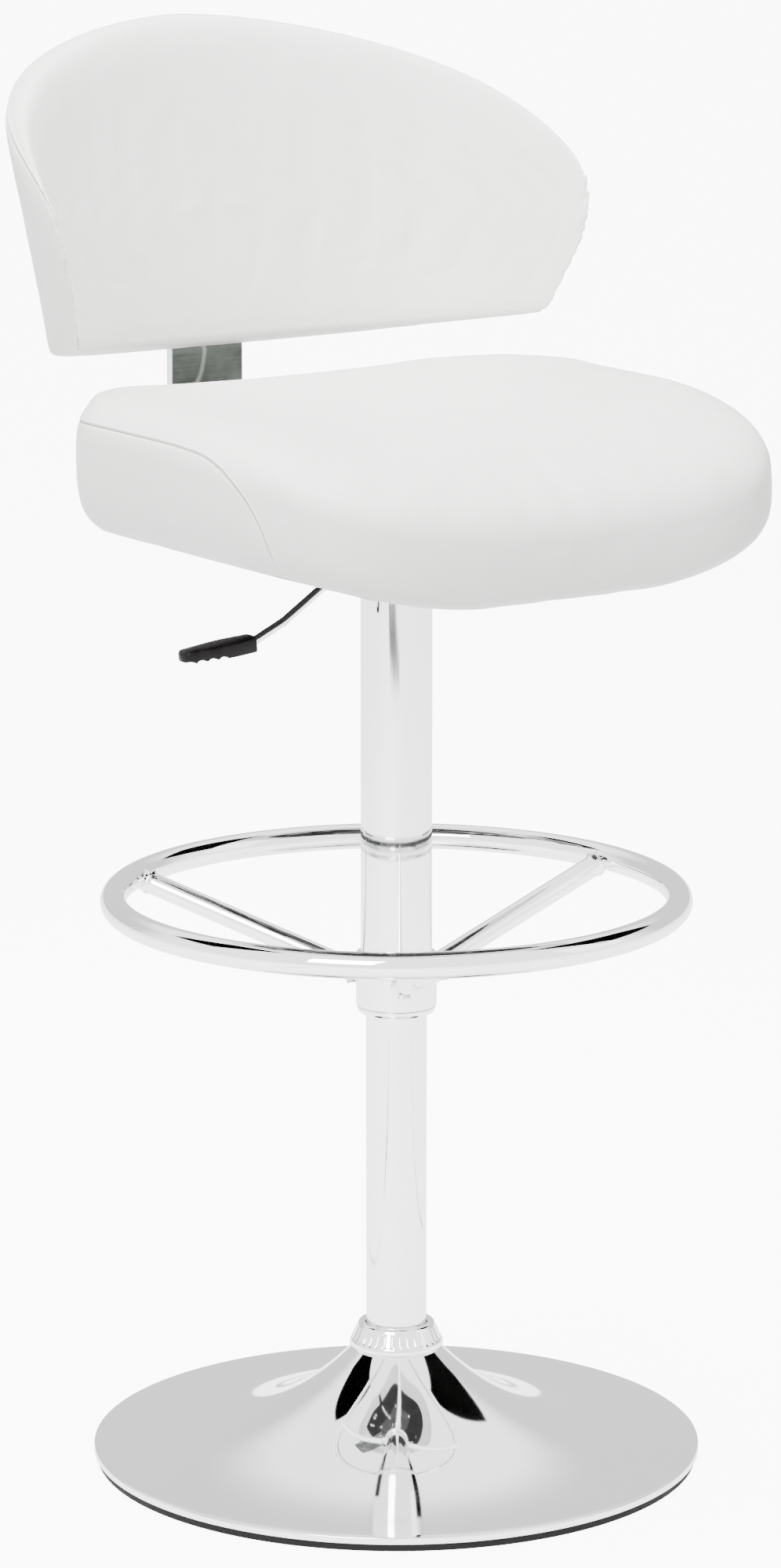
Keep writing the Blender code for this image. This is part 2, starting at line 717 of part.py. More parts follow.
def make_seat_plate(looks, lift):
    half_length = PLATE_LENGTH / 2
    half_depth = PLATE_DEPTH / 2
    plate = box_shape((-half_length, -half_depth, PLATE_BOTTOM), (half_length, half_depth, PLATE_TOP))
    add("seat_plate", plate, looks["black_steel"], lift)
    places = []
    for side in (-1, 1):
        for end in (-1, 1):
            places.append(Vector((side * 0.0600, end * 0.0800, PLATE_BOTTOM - GAP)))
    make_screws("seat_screw", places, 0.0060, -0.0040, looks["steel"], lift)


def make_lever(looks, lever):
    """The lever's rod runs out towards the sitter's right, steps down and ends in a flat grip."""
    path = LEVER_RUN + [GRIP_START, GRIP_START + GRIP_RUN * ROD_INSIDE_GRIP]
    rod = add("lever_rod", swept_shape(path, round_section(LEVER_ROD, 12)), looks["chrome"], lever)
    join(rod, add("lever_eye", cross_rod(LEVER_EYE, LEVER_EYE_HALF, Vector()), looks["steel"], lever))
    tongue = box_shape((0.0180, -0.0050, -0.0034), (0.0330, 0.0050, 0.0016))
    join(rod, add("lever_tongue", tongue, looks["steel"], lever))
    bore = cross_rod(LEVER_PIN + GAP, LEVER_EYE_HALF + 0.01, Vector())
    cut(rod, add("lever_bore", bore, looks["steel"], lever))
    make_grip(looks, lever)


def make_grip(looks, lever):
    """A flat paddle over the rod's end, with finger notches underneath."""
    along = GRIP_RUN.normalized()
    up = Vector((0.0, 1.0, 0.0)).cross(along)
    length = GRIP_RUN.length
    shoulder = 0.0060
    profile = [
        (0.0, GRIP_TOP - 0.0010),
        (shoulder, GRIP_TOP),
        (length - shoulder, GRIP_TOP - 0.0012),
        (length, 0.0006),
        (length, -0.0046),
    ]
    for index in range(GRIP_NOTCHES):
        reach = length - 0.0030 - index * GRIP_NOTCH_PITCH
        profile.append((reach, GRIP_NOTCH_LOW))
        profile.append((reach - GRIP_NOTCH_WIDTH, GRIP_NOTCH_HIGH))
    profile += [(0.0180, GRIP_BOTTOM), (0.0, GRIP_BOTTOM + 0.0004)]
    shape = bmesh.new()
    sides = []
    for side in (-GRIP_HALF_WIDTH, GRIP_HALF_WIDTH):
        row = []
        for reach, height in profile:
            point = GRIP_START + along * reach + up * height + Vector((0.0, side, 0.0))
            row.append(shape.verts.new(point))
        sides.append(row)
    count = len(profile)
    for step in range(count):
        after = (step + 1) % count
        shape.faces.new([sides[0][step], sides[0][after], sides[1][after], sides[1][step]])
    for row in sides:
        shape.faces.new(row)
    bmesh.ops.triangulate(shape, faces=[face for face in shape.faces if len(face.verts) > 4])
    grip = add("lever_grip", shape, looks["plastic"], lever)
    outside = GRIP_START + (LEVER_RUN[-1] - GRIP_START) * 0.4
    hole_end = GRIP_START + GRIP_RUN * (ROD_INSIDE_GRIP + 0.015)
    hole = swept_shape([outside, GRIP_START, hole_end], round_section(LEVER_ROD + GAP, 12))
    cut(grip, add("grip_hole", hole, looks["steel"], lever))


# ---------------------------------------------------------------- seat
def seat_outline():
    reach = SEAT_REAR - SEAT_FRONT
    return half_moon(SEAT_REAR_HALF, SEAT_HALF, SEAT_SHOULDER, reach, SEAT_ARCH_POWER)


def seat_place(across, forward, height):
    """From a place on the half-moon, measured forward from the rear edge, to the stool's frame."""
    return (across, SEAT_REAR - forward, height)


def seat_underside(across, forward):
    beyond = max(0.0, abs(across) - SEAT_FLAT_HALF) / (SEAT_HALF - SEAT_FLAT_HALF)
    return SEAT_UNDERSIDE + SEAT_UNDER_RISE * beyond**1.7


def seat_top(across, forward):
    reach = SEAT_REAR - SEAT_FRONT
    ahead = max(0.0, forward / reach - 0.5) * 2
    level = SEAT_UNDERSIDE + SEAT_THICKNESS - SEAT_WATERFALL * ahead**2
    level += SEAT_SIDE_RISE * (across / SEAT_HALF) ** 2
    dish_across = across / 0.130
    dish_ahead = (forward - 0.45 * reach) / 0.150
    return level - SEAT_DISH * math.exp(-(dish_across**2) - dish_ahead**2)


def make_seat(looks, lift):
    outline = seat_outline()
    core = (0.0, 0.2200)

    def edge_depth(roundness):
        return SEAT_SIDE_EDGE + (SEAT_FRONT_EDGE - SEAT_SIDE_EDGE) * roundness

    def squareness(roundness):
        return 4.0 + 0.4 * roundness

    def recess(across, forward):
        return seat_underside(across, forward) + SEAT_BOARD + GAP

    _, edge, top = cushion_rings(outline, seat_underside, seat_top, edge_depth, squareness, core)
    board_edge = smaller(outline, SEAT_BOARD_SHARES, SEAT_BOARD_REAR)
    lip = [(a, b, seat_underside(a, b)) for a, b, _ in board_edge]
    shape = stacked_shape(nested_rings(board_edge, core, recess) + [lip] + edge + top, seat_place)
    add("seat_cushion", shape, looks["leather"], lift)

    def board_underside(across, forward):
        return seat_underside(across, forward) + GAP

    def cover_top(across, forward):
        return seat_underside(across, forward) - GAP

    board = sheet_shape(board_edge, core, board_underside, SEAT_BOARD - GAP, seat_place, GAP)
    add("seat_board", board, looks["plywood"], lift)
    cover_edge = smaller(outline, DUST_COVER_SHARES, DUST_COVER_REAR)
    cover = sheet_shape(cover_edge, core, cover_top, -DUST_COVER, seat_place)
    add("seat_dust_cover", cover, looks["cloth"], lift)


def smaller(outline, shares, start):
    """The outline at a share of its width and depth, set a little forward of its base."""
    return [(across * shares[0], start + up * shares[1], roundness) for across, up, roundness in outline]


def nested_rings(outline, core, surface, trim=0.0):
    """Rings on a surface, from a core point out to an outline that may be trimmed a little."""
    rings = [[(*core, surface(*core))]]
    for share in SHEET_SHARES:
        rings.append([(a, b, surface(a, b)) for a, b in ring_towards(outline, core, share)])
    rings.append([(a, b, surface(a, b)) for a, b, *_ in inset(outline, trim)])
    return rings


def sheet_shape(outline, core, surface, thickness, place, trim=0.0):
    """A sheet that lies on a surface. A negative thickness hangs it below."""
    def far_side(across, up):
        return surface(across, up) + thickness

    near_rings = nested_rings(outline, core, surface, trim)
    far_rings = nested_rings(outline, core, far_side, trim)
    return stacked_shape(near_rings + far_rings[::-1], place)


# ---------------------------------------------------------------- back
def back_outline():
    return half_moon(BACK_LOWER_HALF, BACK_HALF, BACK_SHOULDER, BACK_HEIGHT, BACK_ARCH_POWER)


def back_place(across, up, forward):
    """Wrap a place on the flat half-moon round the sitter, then lean it back.

    The thickness runs straight forward everywhere, so the ends are cut square to the sitter.
    """
    wrap = BACK_WRAP * (1 - BACK_WRAP_EASE * (up / BACK_HEIGHT - 0.5))
    sideways = math.sin(across * wrap) / wrap
    ahead = (1 - math.cos(across * wrap)) / wrap + forward
    return (
        BACK_FOOT.x + sideways,
        BACK_FOOT.y - ahead * math.cos(BACK_RECLINE) + up * math.sin(BACK_RECLINE),
        BACK_FOOT.z + up * math.cos(BACK_RECLINE) + ahead * math.sin(BACK_RECLINE),
    )


def back_swell(across, up):
    """1 in the middle of the lower edge, 0 at the sides and at the top of the arch."""
    sides = max(0.0, 1 - (across / BACK_HALF) ** 2)
    top = max(0.0, 1 - (up / BACK_HEIGHT) ** 2)
    return sides * top


def back_front(across, up):
    return BACK_EDGE_THICKNESS / 2 + BACK_FRONT_CROWN * back_swell(across, up)


def back_rear(across, up):
    return -BACK_EDGE_THICKNESS / 2 - BACK_REAR_CROWN * back_swell(across, up)


def make_back(looks, lift):
    outline = back_outline()
    core = (0.0, 0.1200)

    def edge_depth(roundness):
        return BACK_EDGE_ROUND * (0.8 + 0.2 * roundness)

    def squareness(roundness):
        return 3.0

    under, edge, top = cushion_rings(outline, back_rear, back_front, edge_depth, squareness, core)
    split = len(edge) // 2
    pad_low = BACK_SPLIT + BACK_GAP / 2

    def pad_underside(across, up):
        return pad_low

    def board_roof(across, up):
        return pad_low + BACK_BOARD + BACK_GAP

    board_edge = inset(outline, BACK_BOARD_INSET)
    pad_under = nested_rings(board_edge, core, board_roof)
    lip = [(a, b, pad_low) for a, b, _ in board_edge]
    seam = [(a, b, pad_low) for a, b, _ in edge[split]]
    pad = stacked_shape(pad_under + [lip, seam] + edge[split:] + top, back_place)
    add("back_cushion", pad, looks["leather"], lift)
    board = sheet_shape(board_edge, core, pad_underside, BACK_BOARD, back_place, BACK_GAP)
    add("back_board", board, looks["plywood"], lift)

    rear_high = BACK_SPLIT - BACK_GAP / 2
    rear_top = [[(a, b, rear_high) for a, b, _ in ring] for ring in [edge[split], lip]]
    for share in reversed(SHEET_SHARES):
        rear_top.append([(a, b, rear_high) for a, b in ring_towards(board_edge, core, share)])
    rear_top.append([(*core, rear_high)])
    rear = stacked_shape(under + edge[:split] + rear_top, back_place)
    cover = add("back_rear_pad", rear, looks["leather"], lift)
    cut(cover, add("bar_groove", bar_shape(GAP, 0.0020), looks["steel"], lift))
    make_back_screws(looks, lift, cover)


def make_back_screws(looks, lift, cover):
    """Screw heads on the rear face of the bar, each in a pocket of the rear pad."""
    lean = Vector((0.0, math.sin(BACK_RECLINE), math.cos(BACK_RECLINE)))
    rearward = Vector((0.0, math.cos(BACK_RECLINE), -math.sin(BACK_RECLINE)))
    rear_face = bar_knee() + rearward * (BAR_THICKNESS / 2 + GAP)
    for index, reach in enumerate((0.0500, 0.1000)):
        place = rear_face + lean * reach
        head = swept_shape([place, place + rearward * 0.0030], round_section(0.0060, 12))
        add(f"back_screw_{index + 1}", head, looks["steel"], lift)
        room = swept_shape([place - rearward * 0.0040, place + rearward * 0.0034], round_section(0.0066, 12))
        cut(cover, add(f"screw_pocket_{index + 1}", room, looks["steel"], lift))


def bar_knee():
    """Where the bar's middle line leaves the vertical and leans back."""
    return Vector((0.0, BAR_FRONT_FACE + BAR_THICKNESS / 2, BACK_FOOT.z - 0.0040))


def bar_path(extra=0.0):
    """The middle line of the bar, from under the seat, up behind it and into the back."""
    level = BAR_TOP - BAR_THICKNESS / 2
    upright = BAR_FRONT_FACE + BAR_THICKNESS / 2
    corner = Vector((0.0, upright - BAR_BEND, level + BAR_BEND))
    path = [Vector((0.0, BAR_START, level))]
    path += arc_points(corner, BAR_BEND, -math.pi / 2, 0.0, 6)
    lean = Vector((0.0, math.sin(BACK_RECLINE), math.cos(BACK_RECLINE)))
    path.append(bar_knee())
    path.append(bar_knee() + lean * (BAR_REACH + extra))
    return path


def bar_shape(clearance=0.0, extra=0.0):
    half_width = BAR_HALF_WIDTH + clearance
    half = BAR_THICKNESS / 2 + clearance
    section = [(-half_width, -half), (half_width, -half), (half_width, half), (-half_width, half)]
    return swept_shape(bar_path(extra), section)


def make_bar(looks, lift):
    add("back_bar", bar_shape(), looks["brushed"], lift)
    low = BAR_TOP - BAR_THICKNESS - GAP
    places = []
    for side in (-1, 1):
        for reach in (0.0250, 0.0650):
            places.append(Vector((side * 0.0200, BAR_START + reach, low)))
    make_screws("bar_screw", places, 0.0065, -0.0045, looks["steel"], lift)


# ---------------------------------------------------------------- whole stool
def main():
    clear_scene()
    looks = {
        "chrome": look("chrome", (0.82, 0.83, 0.84), 0.05, 1.0),
        "steel": look("zinc_steel", (0.55, 0.56, 0.58), 0.35, 1.0),
        "black_steel": look("black_steel", (0.03, 0.03, 0.03), 0.45, 0.2),
        "brushed": look("brushed_steel", (0.52, 0.54, 0.52), 0.38, 1.0),
        "iron": look("cast_iron", (0.08, 0.08, 0.08), 0.7, 0.6),
        "rubber": look("black_rubber", (0.015, 0.015, 0.015), 0.75, 0.0),
        "nylon": look("black_nylon", (0.02, 0.02, 0.02), 0.5, 0.0),
        "plastic": look("black_plastic", (0.02, 0.02, 0.02), 0.4, 0.0),
        "plywood": look("plywood", (0.55, 0.40, 0.24), 0.7, 0.0),
        "cloth": look("black_cloth", (0.02, 0.02, 0.02), 0.9, 0.0),
        "leather": look("white_leatherette", (0.86, 0.86, 0.84), 0.42, 0.0),
    }
    swivel = axis_at("swivel_axis", (0.0, 0.0, 0.0))
    lift = axis_at("lift_axis", (0.0, 0.0, 0.0))
    lever = axis_at("lever_axis", LEVER_PIVOT)
    lift.parent = swivel
    lever.parent = lift
    make_base(looks)
    make_bearing(looks, swivel)
    make_rod(looks, swivel)
    make_lifted_column(looks, lift)
    make_footrest(looks, lift)
    make_channel(looks, lift)
    make_seat_plate(looks, lift)
    valve = disc_outline(VALVE_RADIUS, VALVE_BOTTOM, VALVE_TOP)
    turned("valve_pin", valve, looks["steel"], lift, 12)
    make_lever(looks, lever)
    make_seat(looks, lift)
    make_back(looks, lift)
    make_bar(looks, lift)


main()
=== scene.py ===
import json
import math

import bmesh
import bpy
import numpy as np
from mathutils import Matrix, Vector
from mathutils.bvhtree import BVHTree
from mathutils.kdtree import KDTree


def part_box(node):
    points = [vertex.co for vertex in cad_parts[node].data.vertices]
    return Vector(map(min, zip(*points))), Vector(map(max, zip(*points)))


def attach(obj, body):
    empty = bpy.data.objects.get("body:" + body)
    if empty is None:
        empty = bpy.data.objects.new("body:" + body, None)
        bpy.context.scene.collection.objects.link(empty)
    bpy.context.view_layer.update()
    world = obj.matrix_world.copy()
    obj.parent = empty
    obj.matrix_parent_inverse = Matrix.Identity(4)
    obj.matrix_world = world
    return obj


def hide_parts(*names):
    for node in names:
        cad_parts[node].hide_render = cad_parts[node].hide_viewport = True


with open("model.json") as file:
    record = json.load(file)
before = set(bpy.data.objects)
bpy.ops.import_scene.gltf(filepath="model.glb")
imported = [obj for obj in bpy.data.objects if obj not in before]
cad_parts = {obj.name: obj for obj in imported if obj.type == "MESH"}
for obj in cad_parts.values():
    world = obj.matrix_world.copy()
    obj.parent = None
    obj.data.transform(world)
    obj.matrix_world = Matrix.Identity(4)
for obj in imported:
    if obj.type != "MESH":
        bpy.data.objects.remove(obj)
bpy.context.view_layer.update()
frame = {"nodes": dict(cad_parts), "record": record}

# ---------------------------------------------------------------- view
CAMERA_TURN = math.radians(34.0)  # from the sitter's front towards the lever's side
CAMERA_SWING = 0.00105
CAMERA_PITCH = 0.21246
CAMERA_DISTANCE = 4.732
CAMERA_HEIGHT = 1.605
CAMERA_LENS = 132.9
FLOOR_GLOW = 9.0  # seen directly
FLOOR_MIRRORED = 2.4  # seen in polished metal
WORLD_BRIGHT = 3.0
WORLD_GREY = 1.45
CEILING_GAPS = (  # black gaps beside the overhead panel: side, and direction shares inner, near, far and low
    (-1.0, 0.40, -0.06, 0.38, 0.60),
    (1.0, 0.43, 0.05, 0.62, 0.47),
)
WORLD_SOFT = 0.40  # share of the world's light that falls on matt surfaces
STAGE_RADIUS = 40.0
DARK_FIELDS = (  # outlines of (distance, azimuth in degrees) round the column
    ((4.20, -25), (4.20, -7), (3.84, 3), (3.60, 10), (3.45, 10), (3.47, 0), (3.60, -20), (3.84, -24)),
    ((4.10, -65), (4.10, -53), (4.60, -53), (4.60, -65)),
)
DARK_LINES = (
    ((1.48, -26), (1.00, -36), (0.787, -51), (0.60, -80), (0.583, -100), (0.63, -126)),
    ((1.48, 63), (1.257, 63), (0.948, 71), (0.858, 81), (0.716, 109), (0.693, 118)),
)
DARK_LINE_HALF = 0.004
DARK_LINE_TURN = 0.3

# ---------------------------------------------------------------- seat, as the CAD has it
SEAT_REAR = 0.1944
SEAT_FRONT = -0.2673
SEAT_REAR_HALF = 0.1664
SEAT_HALF = 0.2613
SEAT_SHOULDER = 0.1381
SEAT_ARCH_POWER = 4.3
SEAT_UNDERSIDE = 0.7760
SEAT_THICKNESS = 0.1295
SEAT_SIDE_EDGE = 0.0232
SEAT_FRONT_EDGE = 0.0790
SEAT_SIDE_RISE = 0.0190
SEAT_REAR_BAND = 0.120  # over which the raised rear edge falls to the seat's middle
SEAT_REAR_SHARE = 0.28  # of the side rise, along the rear edge
SEAT_TOP_SQUARENESS = 3.1
SEAT_CORNER_REACH = 0.036
SEAT_UNDER_RISE = 0.0443
SEAT_FLAT_HALF = 0.0750
SEAT_WATERFALL = 0.0454
SEAT_DISH = 0.0120
SEAT_DISH_HALF_WIDTH = 0.130
SEAT_DISH_HALF_DEPTH = 0.150
SEAT_DISH_MIDDLE = 0.45  # share of the way from the rear edge to the front
SEAT_CORE = (0.0, 0.22)
SEAT_SEAM_LEVEL = 0.60
SEAT_SEAM_TURN = -0.090  # where the seam leaves the top edge and curves down
SEAT_SEAM_FOOT = -0.184
SEAT_SEAM_ROUNDNESS = 2.2

# ---------------------------------------------------------------- back, as the CAD has it
BACK_FOOT = Vector((0.0, 0.2873, 0.9211))
BACK_RECLINE = 0.1712
BACK_WRAP = 3.51
BACK_WRAP_EASE = 0.2464
BACK_LOWER_HALF = 0.3000
BACK_HALF = 0.3580
BACK_SHOULDER = 0.0971
BACK_HEIGHT = 0.2862
BACK_ARCH_POWER = 1.685
BACK_EDGE_THICKNESS = 0.0385
BACK_FRONT_CROWN = 0.0100
BACK_REAR_CROWN = 0.0120
BACK_EDGE_ROUND = 0.0120
BACK_SEAM_LEVEL = 0.85
BACK_SEAM_TURN = 0.085  # height up the side where the seam starts to run rearwards
BACK_SEAM_RUN = 0.140
BACK_SOFT_FROM = 0.090  # height up the side where the front starts to roll over
BACK_SOFT_RISE = 0.110
BACK_SOFT_DEPTH = 0.030
BACK_CORE = (0.0, 0.12)

# ---------------------------------------------------------------- metalwork
SHELL_NECK_TOP = 0.0955
SHELL_NECK_RADIUS = 0.0370
SHELL_RIM_TOP = 0.0125
SHELL_CONE_RISE = 0.0130
SHELL_WALL = 0.0014
FLARE_POWER = 3.25
PAD_BORE = 0.002
PAD_LIP = 0.0084
PAD_FLOOR = 0.0030
LOWER_TUBE_BORE = 0.0236
SLEEVE_TUBE_BORE = 0.0278
HUB_BORE = 0.0303
CAP_BORE = 0.0262
COLLAR_BORE = 0.0259
COLLAR_FLUTES = 36
FLUTE_DEPTH = 0.0010
DISC_STEPS = 256  # sides of the large turned pieces
TUBE_STEPS = 192  # sides of the tubes
RING_RADIUS = 0.2375
RING_TUBE = 0.0112
RING_HEIGHT = 0.4866
SPOKE_RADIUS = 0.0093
SPOKE_HUB_HEIGHT = 0.4175
SPOKE_FIRST = math.radians(6.0)
WELD_SPREAD = 0.0022
BAR_HALF_WIDTH = 0.0365
BAR_THICKNESS = 0.0080
BAR_FRONT_FACE = 0.2930
BAR_START = 0.0980
BAR_TOP = 0.7744
BAR_BEND = 0.0300
LEVER_PIVOT = Vector((-0.0300, 0.0, 0.7625))
GRIP_START = Vector((-0.1128, 0.0, -0.0428))  # from the pivot
GRIP_RUN = Vector((-0.0680, 0.0, -0.0058))
LEVER_RADIUS = 0.0037
LEVER_EYE_RADIUS = 0.0058
LEVER_EYE_HALF = 0.008
LEVER_TONGUE = (0.0150, 0.0100, 0.0048)
LEVER_TONGUE_PLACE = Vector((0.0255, 0.0, -0.0009))

SEAM_REACH = 0.0065
SEAM_RIDGE = -0.0007  # where the panel's turned-over edge lies, from the seam, and where its painted highlight falls
SEAM_RIDGE_HEIGHT = 0.0006
# where the seam's groove lies, from the seam, and where its painted shade falls
SEAM_GROOVE = 0.0012
SEAM_DEPTH = 0.0013
SEAM_WIDTH = 0.0013
SEAM_SPACING = 0.003  # between the points that a seam's distance is measured from
SETTLE_INSIDE = 0.004
SETTLE_REACH = 0.014
COVER_RINGS = (0.08, 0.18, 0.30, 0.44, 0.58, 0.72, 0.86)  # shares of the way to the middle
COVER_EDGE_STEPS = 22
CLOTH_PRESSURE = 4.0
CLOTH_FRAMES = 20
FOLD_SMOOTHING = 60
FOLD_SOFTENING = 8
FOLD_DEPTH = 0.0005

PLEAT_DEPTH = 0.0012
PLEAT_WIDTH = 0.0018
PLEAT_FOOT = -0.98
SEAT_PLEATS = (  # side, distance from the rear edge, lean towards the front, level of the top
    (-1, 0.398, 0.004, -0.60),
    (-1, 0.412, -0.003, -0.75),
    (-1, 0.4395, 0.001, -0.62),
    (-1, 0.4425, -0.001, -0.70),
    (1, 0.401, 0.003, -0.65),
    (1, 0.436, -0.002, -0.66),
)


# ---------------------------------------------------------------- node materials
class Look:
    """A Principled material with a few short ways to add procedural detail."""

    def __init__(self, name, colour, roughness, metallic=0.0):
        self.material = bpy.data.materials.new(name)
        self.material.use_nodes = True
        self.tree = self.material.node_tree
        self.shader = self.tree.nodes["Principled BSDF"]
        self.shader.inputs["Base Color"].default_value = (*colour, 1.0)
        self.shader.inputs["Roughness"].default_value = roughness
        self.shader.inputs["Metallic"].default_value = metallic
        self.place = self.tree.nodes.new("ShaderNodeTexCoord").outputs["Object"]
        self.last_bump = None

    def node(self, kind, **values):
        node = self.tree.nodes.new(kind)
        for name, value in values.items():
            node.inputs[name.replace("_", " ")].default_value = value
        return node

    def link(self, source, target):
        self.tree.links.new(source, target)

    def stretched(self, scale):
        node = self.node("ShaderNodeMapping")
        node.inputs["Scale"].default_value = scale
        self.link(self.place, node.inputs["Vector"])
        return node.outputs["Vector"]

    def noise(self, scale, detail=3.0, place=None, roughness=0.5, distortion=0.0):
        node = self.node("ShaderNodeTexNoise", Scale=scale, Detail=detail, Roughness=roughness,
                         Distortion=distortion)
        self.link(place or self.place, node.inputs["Vector"])
        return node.outputs["Fac"]

    def cells(self, scale, feature="F1"):
        node = self.node("ShaderNodeTexVoronoi", Scale=scale)
        node.feature = feature
        self.link(self.place, node.inputs["Vector"])
        return node.outputs["Distance"]

    def ranged(self, value, low, high, to_low, to_high):
        node = self.node("ShaderNodeMapRange", From_Min=low, From_Max=high, To_Min=to_low, To_Max=to_high)
        self.link(value, node.inputs["Value"])
        return node.outputs["Result"]

    def colours(self, value, *stops):
        node = self.tree.nodes.new("ShaderNodeValToRGB")
        ramp = node.color_ramp
        while len(ramp.elements) < len(stops):
            ramp.elements.new(0.5)
        for element, (position, colour) in zip(ramp.elements, stops):
            element.position = position
            element.color = (*colour, 1.0)
        self.link(value, node.inputs["Fac"])
        return node.outputs["Color"]

    def mix(self, share, first, second):
        node = self.tree.nodes.new("ShaderNodeMix")
        node.data_type = "RGBA"
        self.link(share, node.inputs["Factor"])
        for value, socket in ((first, node.inputs[6]), (second, node.inputs[7])):
            if hasattr(value, "links"):
                self.link(value, socket)
            else:
                socket.default_value = (*value, 1.0)
        return node.outputs[2]

    def combined(self, operation, first, second=0.0):
        """A sum or other Math node of two values, of which the second may be a number."""
        node = self.tree.nodes.new("ShaderNodeMath")
        node.operation = operation
        self.link(first, node.inputs[0])
        if hasattr(second, "links"):
            self.link(second, node.inputs[1])
        else:
            node.inputs[1].default_value = second
        return node.outputs["Value"]

    def across(self):
        node = self.tree.nodes.new("ShaderNodeSeparateXYZ")
        self.link(self.place, node.inputs["Vector"])
        return node.outputs["X"]

    def distance(self, value, level=0.0):
        """How far a value lies from a level, either way."""
        return self.combined("ABSOLUTE", self.combined("SUBTRACT", value, level))

    def attribute(self, name):
        node = self.tree.nodes.new("ShaderNodeAttribute")
        node.attribute_name = name
        return node.outputs["Fac"]

    def colour_from(self, value):
        self.link(value, self.shader.inputs["Base Color"])

    def roughness_from(self, value):
        self.link(value, self.shader.inputs["Roughness"])

    def bump(self, height, distance, strength=1.0):
        node = self.node("ShaderNodeBump", Strength=strength, Distance=distance)
        self.link(height, node.inputs["Height"])
        if self.last_bump:
            self.link(self.last_bump, node.inputs["Normal"])
        self.last_bump = node.outputs["Normal"]
        self.link(self.last_bump, self.shader.inputs["Normal"])


def chrome():
    """Polished plate: a faint long waviness, wipe marks in the gloss and hair-fine scratches."""
    look = Look("chrome_plate", (0.86, 0.865, 0.87), 0.04, 1.0)
    smear = look.noise(14.0, 5.0, look.stretched((1.0, 1.0, 0.35)))
    look.roughness_from(look.ranged(smear, 0.35, 0.75, 0.025, 0.085))
    tone = look.noise(5.0, 2.0)
    look.colour_from(look.colours(tone, (0.3, (0.84, 0.845, 0.855)), (0.7, (0.89, 0.89, 0.895))))
    look.bump(look.noise(9.0, 1.0), 0.0004, 0.25)
    look.bump(look.noise(900.0, 2.0, look.stretched((1.0, 1.0, 0.05))), 0.00001, 0.25)
    return look.material


def brushed_steel():
    """A flat bar with its grain across, dull patches, a scribed line and bright polished edges."""
    look = Look("brushed_bar_steel", (0.08, 0.09, 0.08), 0.36, 1.0)
    grain = look.noise(700.0, 4.0, look.stretched((0.03, 1.0, 1.0)))
    cloud = look.noise(30.0, 4.0, None, 0.6)
    dull = ((0.3, (0.040, 0.046, 0.041)), (0.55, (0.065, 0.073, 0.066)), (0.75, (0.10, 0.11, 0.10)))
    patch = look.colours(cloud, *dull)
    worn = look.mix(look.ranged(grain, 0.3, 0.7, 0.0, 0.25), patch, (0.15, 0.16, 0.15))
    scribe = look.ranged(look.distance(look.noise(11.0, 1.0), 0.5), 0.0, 0.010, 0.7, 0.0)
    worn = look.mix(scribe, worn, (0.30, 0.32, 0.30))
    polished = BAR_HALF_WIDTH - 0.0012
    edge = look.ranged(look.distance(look.across()), polished, polished + 0.0005, 0.0, 1.0)
    look.colour_from(look.mix(edge, worn, (0.78, 0.77, 0.82)))
    look.roughness_from(look.ranged(cloud, 0.3, 0.7, 0.28, 0.48))
    look.shader.inputs["Anisotropic"].default_value = 0.5
    look.bump(grain, 0.00005, 0.5)
    look.bump(look.noise(160.0, 3.0), 0.00008, 0.3)
    return look.material


def leatherette():
    """Off-white coated cloth: pebble grain, soft creases, a sheen, a painted highlight along each seam's
    turned-over edge and painted shade in its groove.
    """
    look = Look("soft_leatherette", (0.80, 0.80, 0.785), 0.42)
    cloud = look.noise(4.0, 3.0)
    cover = look.colours(cloud, (0.32, (0.770, 0.770, 0.745)), (0.68, (0.815, 0.815, 0.797)))
    gap = look.attribute("seam_gap")
    # painted highlight: a lighter band along the panel's turned-over edge, a mask that also bumps the ridge;
    # painted shade: a darker band in the seam's groove
    ridge_bump_and_highlight = look.ranged(look.distance(gap, SEAM_RIDGE), 0.0006, 0.0014, 1.0, 0.0)
    groove_painted_shade = look.ranged(look.distance(gap, SEAM_GROOVE), 0.0003, 0.0010, 1.0, 0.0)
    look.colour_from(look.mix(ridge_bump_and_highlight, look.mix(groove_painted_shade, cover, (0.42, 0.41, 0.385)), (0.92, 0.92, 0.905)))
    look.roughness_from(look.ranged(look.noise(22.0, 4.0), 0.3, 0.7, 0.38, 0.50))
    look.shader.inputs["Sheen Weight"].default_value = 0.10
    look.shader.inputs["Sheen Roughness"].default_value = 0.45
    look.shader.inputs["Specular IOR Level"].default_value = 0.45
    look.bump(look.noise(15.0, 3.0, None, 0.55, 0.6), 0.0011, 0.35)
    look.bump(look.cells(820.0, "SMOOTH_F1"), 0.00016, 0.5)
    look.bump(look.cells(330.0, "DISTANCE_TO_EDGE"), 0.00008, 0.25)
    look.bump(ridge_bump_and_highlight, 0.0005, 0.8)
    return look.material


def thread():
    """Off-white twisted thread."""
    look = Look("sewing_thread", (0.86, 0.86, 0.84), 0.6)
    twist = look.noise(1400.0, 2.0, look.stretched((1.0, 0.4, 1.0)))
    look.colour_from(look.colours(twist, (0.3, (0.74, 0.74, 0.71)), (0.7, (0.90, 0.90, 0.88))))
    look.bump(twist, 0.0001, 0.6)
    return look.material


def painted_shade_thread():
    """Thread painted dark with the shade of the holes it lies sunk in."""
    look = Look("shaded_thread", (0.20, 0.19, 0.18), 0.7)
    twist = look.noise(1400.0, 2.0)
    look.colour_from(look.colours(twist, (0.3, (0.16, 0.15, 0.14)), (0.7, (0.36, 0.35, 0.33))))
    look.bump(twist, 0.0001, 0.6)
    return look.material


